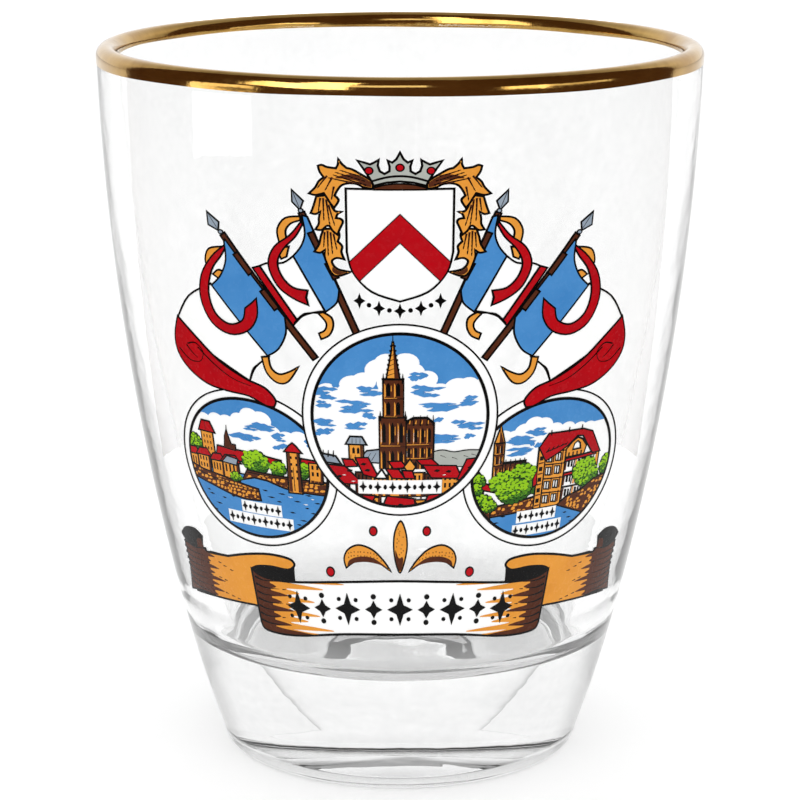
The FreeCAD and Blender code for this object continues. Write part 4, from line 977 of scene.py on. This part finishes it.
def drawScroll():
    for side in (-1, 1):
        def s(points):
            return sided(side, points)

        tail = shape((-19.6, 20.0), [(-16.2, 20.3)], [(-14.0, 20.9), (-11.6, 21.3), (-9.7, 21.2),
            (-9.15, 20.8), (-9.3, 20.4)], [(-9.4, 16.3)], [(-14.0, 16.4)], [(-19.0, 16.1), (-22.4, 15.8)])
        inked("scrollFoldPrint", "ochre", s(tail), None, 0.19)
        pen(s([(-18.6, 20.12), (-17.2, 20.22), (-16.2, 20.3)]), 0.26, 0.12)
        end = shape((-22.7, 20.2), [(-19.2, 20.3)], [(-19.1, 18.0), (-19.2, 16.1)],
            [(-21.0, 16.1), (-23.5, 15.75)], [(-23.0, 17.0), (-22.6, 18.6), (-22.7, 20.2)])
        field = [s(grown(tail, -0.1))]
        tongues("scrollEndPrint", "brown", side, -19.4, (0.8, 1.9, 1.3, 2.3, 1.0, 1.7, 0.7, 1.4), 16.1,
            20.1, field)
        inked("scrollEndPrint", "brown", s(end), None, 0.17)
        paint("scrollEndPrint", "brown", s(block(-19.7, -19.0, 16.3, 20.05)))
        folds(side, -22.9, -19.6, 16.2, 19.9, 7, None)
        for x, z in ((-17.6, 19.5), (-17.0, 19.3), (-17.9, 18.1), (-17.2, 18.0), (-17.4, 16.8),
                (-16.6, 16.7), (-15.9, 16.6), (-16.2, 19.1)):
            pen(s([(x, z), (x + 0.4, z - 0.03)]), 0.12, 0.05)
        hollow = shape((-23.1, 20.8), [(-22.2, 20.15), (-20.8, 20.0), (-19.6, 20.25)], [(-19.3, 21.4)],
            [(-20.4, 21.85), (-22.0, 21.6), (-23.1, 20.8)])
        dark(s(hollow))
        paint("scrollEndPrint", "brown", s(shape((-20.4, 20.2), [(-20.3, 20.9), (-19.6, 21.1)],
            [(-19.5, 20.3)])))
    panel = shape((-13.6, 19.7), [(-12.5, 19.2), (-10.0, 19.1), (-5.0, 19.6), (0, 19.85), (5.0, 19.6),
        (10.0, 19.1), (12.5, 19.2), (13.6, 19.7)], [(13.45, 14.9)],
        [(12.9, 14.3), (10.0, 14.25), (5.0, 14.9), (0, 15.05), (-5.0, 14.9), (-10.0, 14.25), (-12.9, 14.3),
        (-13.45, 14.9)])
    inked("whitePrint", "white", panel, None, 0.19)
    field = [grown(panel, -0.1)]
    for side in (-1, 1):
        tongues("scrollShadePrint", "ochre", side, -10.6, (7.3, 4.6, 2.2, 3.4, 1.9, 3.0, 1.6, 3.9, 5.8),
            14.2, 19.7, field)
        paint("scrollShadePrint", "ochre", sided(side, block(-13.6, -10.2, 14, 20)), field)
        tongues("scrollEndPrint", "brown", side, -12.0, (4.6, 1.9, 0.9, 2.3, 1.2, 1.9, 0.8, 2.2), 14.2,
            19.5, field)
        paint("scrollEndPrint", "brown", sided(side, block(-13.7, -11.8, 14, 20)), field)
        folds(side, -13.35, -11.0, 14.8, 19.3, 7, field)
        hollow = shape((-13.7, 19.75), [(-12.6, 19.25), (-11.0, 19.1), (-9.3, 19.15)], [(-9.15, 20.75)],
            [(-9.8, 20.3), (-11.4, 20.35), (-12.9, 20.15), (-13.7, 19.75)])
        dark(sided(side, hollow))
    scrollOrnament()


def scrollOrnament():
    # stars and dots in place of words
    for i in range(-4, 5):
        x = i * 2.3
        z = 17.3 - 0.0042 * x * x
        if i % 2 == 0:
            dark(star(x, z, 1.1, 1.45, 0.4))
            for dx, dz in ((-0.75, 0.85), (0.75, 0.85), (-0.75, -0.85), (0.75, -0.85)):
                dark(disc(x + dx, z + dz, 0.18, 0.18, 10))
        else:
            for dz in (1.15, -1.15):
                dark(disc(x, z + dz, 0.23, 0.23, 11))
            dark(star(x, z, 0.75, 0.8, 0.5))


def drawFleuron():
    middle = smooth([(0.05, 25.1), (-0.4, 24.2), (-0.52, 22.9), (-0.35, 21.5), (0, 20.6), (0.35, 21.5),
        (0.58, 22.9), (0.45, 24.2)], True)
    inked("fleuronPrint", "ochre", middle, None, 0.14)
    paint("fleuronPrint", "brown", smooth([(-0.38, 22.6), (-0.3, 21.5), (0, 20.75), (0.26, 21.5),
        (0.2, 22.0), (-0.1, 21.9)], True))
    leaf = shape((-4.5, 20.9), [(-4.65, 21.7), (-4.3, 22.5), (-3.4, 22.95), (-2.3, 22.6), (-1.4, 21.7),
        (-0.75, 20.7)], [(-1.7, 21.4), (-2.7, 21.6), (-3.7, 21.5), (-4.5, 20.9)])
    for side in (-1, 1):
        inked("fleuronPrint", "ochre", sided(side, leaf), None, 0.14)
        low = shape((-4.4, 21.1), [(-4.2, 21.6), (-3.4, 21.95), (-2.3, 21.9), (-1.5, 21.4), (-0.9, 20.9)],
            [(-1.7, 21.3), (-2.7, 21.5), (-3.7, 21.4), (-4.4, 21.1)])
        paint("fleuronPrint", "brown", sided(side, low))
        for i in range(24):
            x = -4.3 + (i % 12) * 0.27 + dice.uniform(-0.05, 0.05)
            z = 22.05 + (i // 12) * 0.3 - 0.035 * (x + 3.2) ** 2 * 4 + dice.uniform(-0.05, 0.05)
            paint("fleuronPrint", "brown", sided(side, disc(x, z, 0.05, 0.07, 6)),
                [sided(side, grown(leaf, -0.1))])
        inked("accentDotPrint", "red", sided(side, disc(-2.15, 24.2, 0.3, 0.38, 16)), None, 0.12)
        inked("accentDotPrint", "red", sided(side, disc(-5.9, 20.45, 0.34, 0.4, 16)), None, 0.12)
    for i in range(14):
        x, z = dice.uniform(-0.3, 0.35), 22.2 + i * 0.17
        paint("fleuronPrint", "brown", disc(x, z, 0.045, 0.06, 6), [grown(middle, -0.12)])


riverView()
gardenView()
drawFlags(-1)
drawFlags(1)
cathedralView()
drawShield()
drawScroll()
drawFleuron()
print("drawn,", len(strokes), "strokes")


def inside(outline, points):
    # which points lie inside an outline
    p = np.array(outline)
    q = np.roll(p, -1, axis=0)
    hit = np.zeros(len(points), bool)
    x, z = points[:, 0], points[:, 1]
    for (ax, az), (bx, bz) in zip(p, q):
        if az == bz:
            continue
        cross = (az > z) != (bz > z)
        hit ^= cross & (x < (bx - ax) * (z - az) / (bz - az) + ax)
    return hit


def cutSheet(outlines):
    # one flat sheet of triangles with every outline, and a fine grid, as its edges
    coords, edges = [], []
    for outline in outlines:
        start = len(coords)
        coords += [(x, z) for x, z in outline]
        edges += [(start + i, start + (i + 1) % len(outline)) for i in range(len(outline))]
    xs = [x for x, _ in coords]
    zs = [z for _, z in coords]
    x0, x1, z0, z1 = min(xs) - 0.3, max(xs) + 0.3, min(zs) - 0.3, max(zs) + 0.3
    for x in levels(x0, x1, sheet["gridX"]):
        edges.append((len(coords), len(coords) + 1))
        coords += [(x, z0), (x, z1)]
    for z in levels(z0, z1, sheet["gridZ"]):
        edges.append((len(coords), len(coords) + 1))
        coords += [(x0, z), (x1, z)]
    points, _, faces, _, _, _ = delaunay_2d_cdt(coords, edges, [], 0, 1e-4)
    points = np.array([(p[0], p[1]) for p in points])
    return points, np.array([f for f in faces if len(f) == 3])


def topStroke(points, faces):
    # the number of the last stroke that covers each triangle, or -1
    middle = points[faces].mean(axis=1)
    top = np.full(len(faces), -1)
    windows = {}
    for number, (piece, ink, outline, window) in enumerate(strokes):
        low, high = np.min(outline, axis=0), np.max(outline, axis=0)
        near = np.nonzero((middle > low).all(axis=1) & (middle < high).all(axis=1))[0]
        if not len(near):
            continue
        hit = inside(outline, middle[near])
        for edge in window or []:
            if id(edge) not in windows:
                windows[id(edge)] = inside(edge, middle)
            hit &= windows[id(edge)][near]
        top[near[hit]] = number
    return top


def onWall(points, out):
    # the flat sheet wrapped on the glass, out from its wall
    turn = points[:, 0] / sheet["radius"]
    z = points[:, 1]
    r = cupBow.r + np.sqrt(cupBow.sweep ** 2 - (z - cupBow.z) ** 2) + out
    return np.stack([r * np.sin(turn), -r * np.cos(turn), z], axis=1) * mm


def film(name, points, faces, material, top, share=1.0):
    # one closed film: its outer skin, given thickness inwards
    used, index = np.unique(faces, return_inverse=True)
    mesh = bpy.data.meshes.new(name)
    mesh.from_pydata(onWall(points[used], top).tolist(), [], index.reshape(-1, 3).tolist())
    mesh.materials.append(material)
    piece = bpy.data.objects.new(name, mesh)
    scene.collection.objects.link(piece)
    if share < 1:
        piece.modifiers.new("fewer", "DECIMATE").ratio = share
    wall = piece.modifiers.new("film", "SOLIDIFY")
    wall.thickness = sheet["film"] * mm
    wall.offset = -1
    applyAll(piece)
    smoothBy(piece, 45)
    return piece


class Wire:
    # a value on its way through a material, so sums can be written as sums
    def __init__(self, maker, socket):
        self.maker = maker
        self.socket = socket

    def sum(self, operation, a, b):
        return self.maker.node("ShaderNodeMath", {"operation": operation}, {0: a, 1: b}, 0)

    def __add__(self, other):
        return self.sum("ADD", self, other)

    def __radd__(self, other):
        return self.sum("ADD", other, self)

    def __sub__(self, other):
        return self.sum("SUBTRACT", self, other)

    def __rsub__(self, other):
        return self.sum("SUBTRACT", other, self)

    def __mul__(self, other):
        return self.sum("MULTIPLY", self, other)

    def __rmul__(self, other):
        return self.sum("MULTIPLY", other, self)


class Maker:
    # one material, or the world, being put together
    def __init__(self, name, holder=None):
        self.holder = holder or bpy.data.materials.new(name)
        self.holder.use_nodes = True
        self.tree = self.holder.node_tree
        self.tree.nodes.clear()

    def node(self, kind, settings, inputs, output):
        made = self.tree.nodes.new(kind)
        for key, value in settings.items():
            setattr(made, key, value)
        for key, value in inputs.items():
            if isinstance(value, Wire):
                self.tree.links.new(value.socket, made.inputs[key])
            else:
                made.inputs[key].default_value = value
        return Wire(self, made.outputs[output])

    def noise(self, scale, detail=2.0, roughness=0.5, stretch=(1, 1, 1)):
        place = self.node("ShaderNodeTexCoord", {}, {}, "Object")
        if stretch != (1, 1, 1):
            place = self.node("ShaderNodeMapping", {}, {"Vector": place, "Scale": stretch}, 0)
        inputs = {"Vector": place, "Scale": scale, "Detail": detail, "Roughness": roughness}
        return self.node("ShaderNodeTexNoise", {}, inputs, 0)

    def spread(self, wire, low, high):
        # noise stays mostly between these two, so they are stretched to the limits asked for
        limits = {"Value": wire, "From Min": 0.3, "From Max": 0.7, "To Min": low, "To Max": high}
        return self.node("ShaderNodeMapRange", {}, limits, 0)

    def blend(self, amount, a, b):
        return self.node("ShaderNodeMix", {"data_type": "RGBA"}, {0: amount, 6: a, 7: b}, 2)

    def bump(self, height, distance, strength=1.0):
        return self.node("ShaderNodeBump", {}, {"Height": height, "Distance": distance,
            "Strength": strength}, 0)

    def ramp(self, wire, start, end, low=0.0, high=1.0):
        limits = {"Value": wire, "From Min": start, "From Max": end, "To Min": low, "To Max": high}
        return self.node("ShaderNodeMapRange", {"interpolation_type": "SMOOTHSTEP"}, limits, 0)

    def split(self, place, axis):
        place = self.node("ShaderNodeTexCoord", {}, {}, place)
        return self.node("ShaderNodeSeparateXYZ", {}, {"Vector": place}, axis)

    def finish(self, inputs, shader="ShaderNodeBsdfPrincipled", end="ShaderNodeOutputMaterial"):
        out = self.tree.nodes.new(end)
        self.tree.links.new(self.node(shader, {}, inputs, 0).socket, out.inputs["Surface"])
        return self.holder


def screen(red, green, blue):
    # a colour as seen on a screen, made linear
    shares = [c / 255 for c in (red, green, blue)]
    return tuple(c / 12.92 if c < 0.0405 else ((c + 0.055) / 1.055) ** 2.4 for c in shares) + (1.0,)


def enamel(name, colour, worn, rough=0.22):
    # fired enamel: a little uneven in colour and gloss
    maker = Maker(name)
    cloud = maker.noise(420, 3)
    grain = maker.noise(2600, 2)
    tone = maker.blend(maker.spread(cloud, 0.0, 1.0), colour, worn)
    gloss = maker.spread(grain, rough - 0.06, rough + 0.1)
    skin = maker.bump(cloud * 0.6 + grain * 0.4, 0.00003, 0.5)
    return maker.finish({"Base Color": tone, "Roughness": gloss, "Normal": skin, "IOR": 1.5,
        "Specular IOR Level": 0.12})


inkColours = {
    "white": ((252, 252, 251), (248, 249, 248)), "black": ((3, 3, 4), (9, 8, 8)),
    "blue": ((62, 128, 190), (74, 138, 198)),
    "red": ((180, 0, 14), (168, 2, 18)), "ochre": ((226, 152, 58), (218, 142, 50)),
    "brown": ((86, 42, 22), (72, 34, 18)),
    "darkGreen": ((46, 98, 22), (36, 82, 18)), "midGreen": ((92, 148, 28), (76, 130, 24)),
    "lightGreen": ((150, 200, 24), (132, 184, 22)),
    "grey": ((174, 177, 170), (160, 164, 158)), "steel": ((150, 162, 174), (134, 146, 160)),
}
inkMaterials = {ink: enamel(ink + "Enamel", screen(*a), screen(*b)) for ink, (a, b) in inkColours.items()}
inkFamilies = {"darkGreen": "green", "midGreen": "green", "lightGreen": "green", "steel": "grey"}


def nodeName(piece):
    # linePrint stands for line_print
    return "".join("_" + c.lower() if c.isupper() else c for c in piece)


def printAll():
    points, faces = cutSheet([outline for _, _, outline, _ in strokes] + uniqueWindows())
    top = topStroke(points, faces)
    covered = top >= 0
    print("sheet cut,", len(faces), "triangles,", int(covered.sum()), "printed")
    under = film("whitePrint", points, faces[covered], inkMaterials["white"], sheet["whiteTop"],
        sheet["whiteShare"])
    settle(under, "white_underprint", "white_enamel")
    kinds = {}
    for number, (piece, ink, _, _) in enumerate(strokes):
        kinds.setdefault((piece, ink), set()).add(number)
    for (piece, ink), numbers in kinds.items():
        if ink == "white":
            continue
        chosen = np.isin(top, list(numbers))
        if not chosen.any():
            continue
        made = film(piece + ink.capitalize(), points, faces[chosen], inkMaterials[ink], sheet["inkTop"])
        settle(made, nodeName(piece), inkFamilies.get(ink, ink) + "_enamel")


def uniqueWindows():
    found = {id(edge): edge for _, _, _, window in strokes for edge in window or []}
    return list(found.values())


def settle(piece, node, slot):
    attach(piece, "root")
    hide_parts(node)


printAll()
print("print laid")


def clearGlass():
    # the glass is tinted greyer in its base, below the wall, than in its wall
    maker = Maker("clearGlass")
    ripple = maker.noise(95, 2)
    fine = maker.noise(420, 2)
    speckle = maker.noise(1500, 2)
    gloss = maker.spread(fine, 0.0, 0.02)
    skin = maker.bump(ripple * 0.8 + fine * 0.2, 0.00012, 0.25)
    mottle = maker.spread(speckle * 0.5 + fine * 0.3 + ripple * 0.2, 0.0, 1.0)
    wall = maker.blend(mottle, (0.98, 0.98, 0.98, 1.0), (0.91, 0.915, 0.915, 1.0))
    base = maker.blend(mottle, (0.87, 0.87, 0.87, 1.0), (0.76, 0.765, 0.765, 1.0))
    tone = maker.blend(maker.ramp(maker.split("Object", "Z"), 0.008, 0.0125), base, wall)
    return maker.finish({"Base Color": tone, "Roughness": gloss, "Normal": skin, "IOR": 1.5,
        "Transmission Weight": 1.0})


def brightGold():
    maker = Maker("brightGold")
    wide = maker.noise(75, 1, 0.5, (1, 1, 3))
    cloud = maker.noise(260, 3, 0.6)
    grain = maker.noise(1800, 3)
    tone = maker.blend(maker.spread(cloud, 0.0, 1.0), screen(196, 160, 92), screen(168, 128, 62))
    gloss = maker.spread(cloud * 0.6 + grain * 0.4, 0.05, 0.16)
    skin = maker.bump(wide * 0.98 + grain * 0.02, 0.0009, 0.45)
    return maker.finish({"Base Color": tone, "Roughness": gloss, "Normal": skin, "Metallic": 1.0})


def dress(piece, material):
    piece.data.materials.clear()
    piece.data.materials.append(material)


dress(glass, clearGlass())
dress(gold, brightGold())

selectNothing()
bpy.ops.mesh.primitive_plane_add(size=6)
floor = bpy.context.object
floor.name = "floor"
floorMaker = Maker("paleFloor")
paper = floorMaker.blend(floorMaker.noise(6, 2), (0.93, 0.93, 0.93, 1), (0.95, 0.95, 0.95, 1))
dress(floor, floorMaker.finish({"Base Color": paper, "Roughness": 0.9, "Specular IOR Level": 0.1,
    "Emission Color": (1, 1, 1, 1), "Emission Strength": 0.1}))


def card(name, place, aim, size, power):
    # a soft rectangular lamp that points at its aim
    lamp = bpy.data.lights.new(name, "AREA")
    lamp.shape = "RECTANGLE"
    lamp.size, lamp.size_y = size
    lamp.energy = power
    lampObject = bpy.data.objects.new(name, lamp)
    scene.collection.objects.link(lampObject)
    lampObject.location = place
    dx, dy, dz = (aim[i] - place[i] for i in range(3))
    lampObject.rotation_euler = (math.atan2(math.hypot(dx, dy), -dz), 0, math.atan2(dx, -dy) + math.pi)
    return lampObject


# cards that only reflections see: a dark hood over the front, with bright panels on it
hood = {
    "near": 0.075, "far": 0.42, "middle": 0.06, "reach": 120, "top": 100, "lift": 0.001, "gap": 0.02,
    "tone": (0.085, 0.046, 0.028, 1),
}
# degrees round from the front, then degrees up the hood or radius on the floor
panels = {
    "panelMiddle": {"turn": (-41, -17), "up": (0, 60), "glow": 4.0},
    "panelLow": {"turn": (-57, -41), "up": (0, 40), "glow": 3.0},
    "panelThin": {"turn": (-17, 8), "up": (22, 38), "glow": 1.0},
    "panelRight": {"turn": (38, 57), "up": (-7.5, 8), "glow": 3.0},
    "panelRightFar": {"turn": (57, 80), "up": (-3, 7), "glow": 0.8},
    "panelLeft": {"turn": (-80, -54), "floor": (0.24, 0.39), "glow": 2.2},
}


def sweptCard(name, profile, start, end):
    # a profile of radius and height swept round the glass, in degrees from the front
    steps = max(4, round((end - start) / 5))
    corners, quads = [], []
    for i in range(steps + 1):
        turn = math.radians(-90 + start + (end - start) * i / steps)
        corners += [(r * math.cos(turn), r * math.sin(turn), z) for r, z in profile]
    rows = len(profile)
    for i in range(steps):
        quads += [(i * rows + k, (i + 1) * rows + k, (i + 1) * rows + k + 1,
            i * rows + k + 1) for k in range(rows - 1)]
    mesh = bpy.data.meshes.new(name)
    mesh.from_pydata(corners, [], quads)
    piece = bpy.data.objects.new(name, mesh)
    scene.collection.objects.link(piece)
    for ray in ("camera", "diffuse", "transmission", "shadow", "volume_scatter"):
        setattr(piece, "visible_" + ray, False)
    return piece


def hoodPoint(up, reach):
    return reach * math.cos(math.radians(up)), hood["middle"] + reach * math.sin(math.radians(up))


def cardFinish(name, colour, glow):
    cloth = Maker(name)
    tone = cloth.blend(cloth.noise(30, 2), colour, tuple(c * 1.5 for c in colour[:3]) + (1.0,))
    return cloth.finish({"Base Color": tone, "Roughness": 1.0, "Specular IOR Level": 0.0,
        "Emission Color": (1, 1, 1, 1), "Emission Strength": glow})


darkCloth = cardFinish("darkCloth", hood["tone"], 0.0)
hoodProfile = [(hood["near"], hood["lift"]), (hood["far"], hood["lift"])]
hoodProfile += [hoodPoint(up, hood["far"]) for up in range(0, hood["top"] + 1, 10)]
dress(sweptCard("hood", hoodProfile, -hood["reach"], hood["reach"]), darkCloth)
for name, panel in panels.items():
    if "floor" in panel:
        profile = [(r, 2 * hood["lift"]) for r in panel["floor"]]
    else:
        profile = [hoodPoint(up, hood["far"] - hood["gap"]) for up in panel["up"]]
    cloth = cardFinish(name + "Cloth", (0.5, 0.5, 0.5, 1.0), panel["glow"])
    dress(sweptCard(name, profile, *panel["turn"]), cloth)

# a white wall all round, only there to be looked at
backShape = {"radius": 0.6, "height": 1.5, "glow": 1.1}
backProfile = [(backShape["radius"], 0.0), (backShape["radius"], backShape["height"])]
backWall = sweptCard("backWall", backProfile, -180, 180)
dress(backWall, cardFinish("backWallCloth", (0.6, 0.6, 0.6, 1.0), backShape["glow"]))
backWall.visible_camera = True
backWall.visible_glossy = False

# the room: white round about, greyer overhead and far to either side
world = bpy.data.worlds.new("studio")
room = Maker("studio", world)
aside = room.split("Generated", "X")
sky = room.blend(room.ramp(aside * aside, 0.42, 0.9), (1.0, 1.0, 1.0, 1.0), (0.4, 0.4, 0.4, 1.0))
sky = room.blend(room.ramp(room.split("Generated", "Z"), 0.3, 0.85), sky, (0.375, 0.375, 0.375, 1.0))
room.finish({"Color": sky, "Strength": 1.12}, "ShaderNodeBackground", "ShaderNodeOutputWorld")
scene.world = world
softLight = card("softLight", (0, -0.1, 0.9), (0, 0, 0.02), (1.6, 1.6), 9.0)
softLight.visible_camera = False
softLight.visible_glossy = False
softLight.visible_transmission = False
glass.visible_shadow = False  # clear glass lets the light through to the table

view = {"lens": 119.45, "sensor": 36, "back": 0.220, "height": 0.0843, "tilt": 76}
cameraData = bpy.data.cameras.new("camera")
cameraData.lens = view["lens"]
cameraData.sensor_width = view["sensor"]
camera = bpy.data.objects.new("camera", cameraData)
scene.collection.objects.link(camera)
camera.location = (0, -view["back"], view["height"])
camera.rotation_euler = (math.radians(view["tilt"]), 0, 0)
scene.camera = camera
scene.view_settings.view_transform = "Standard"
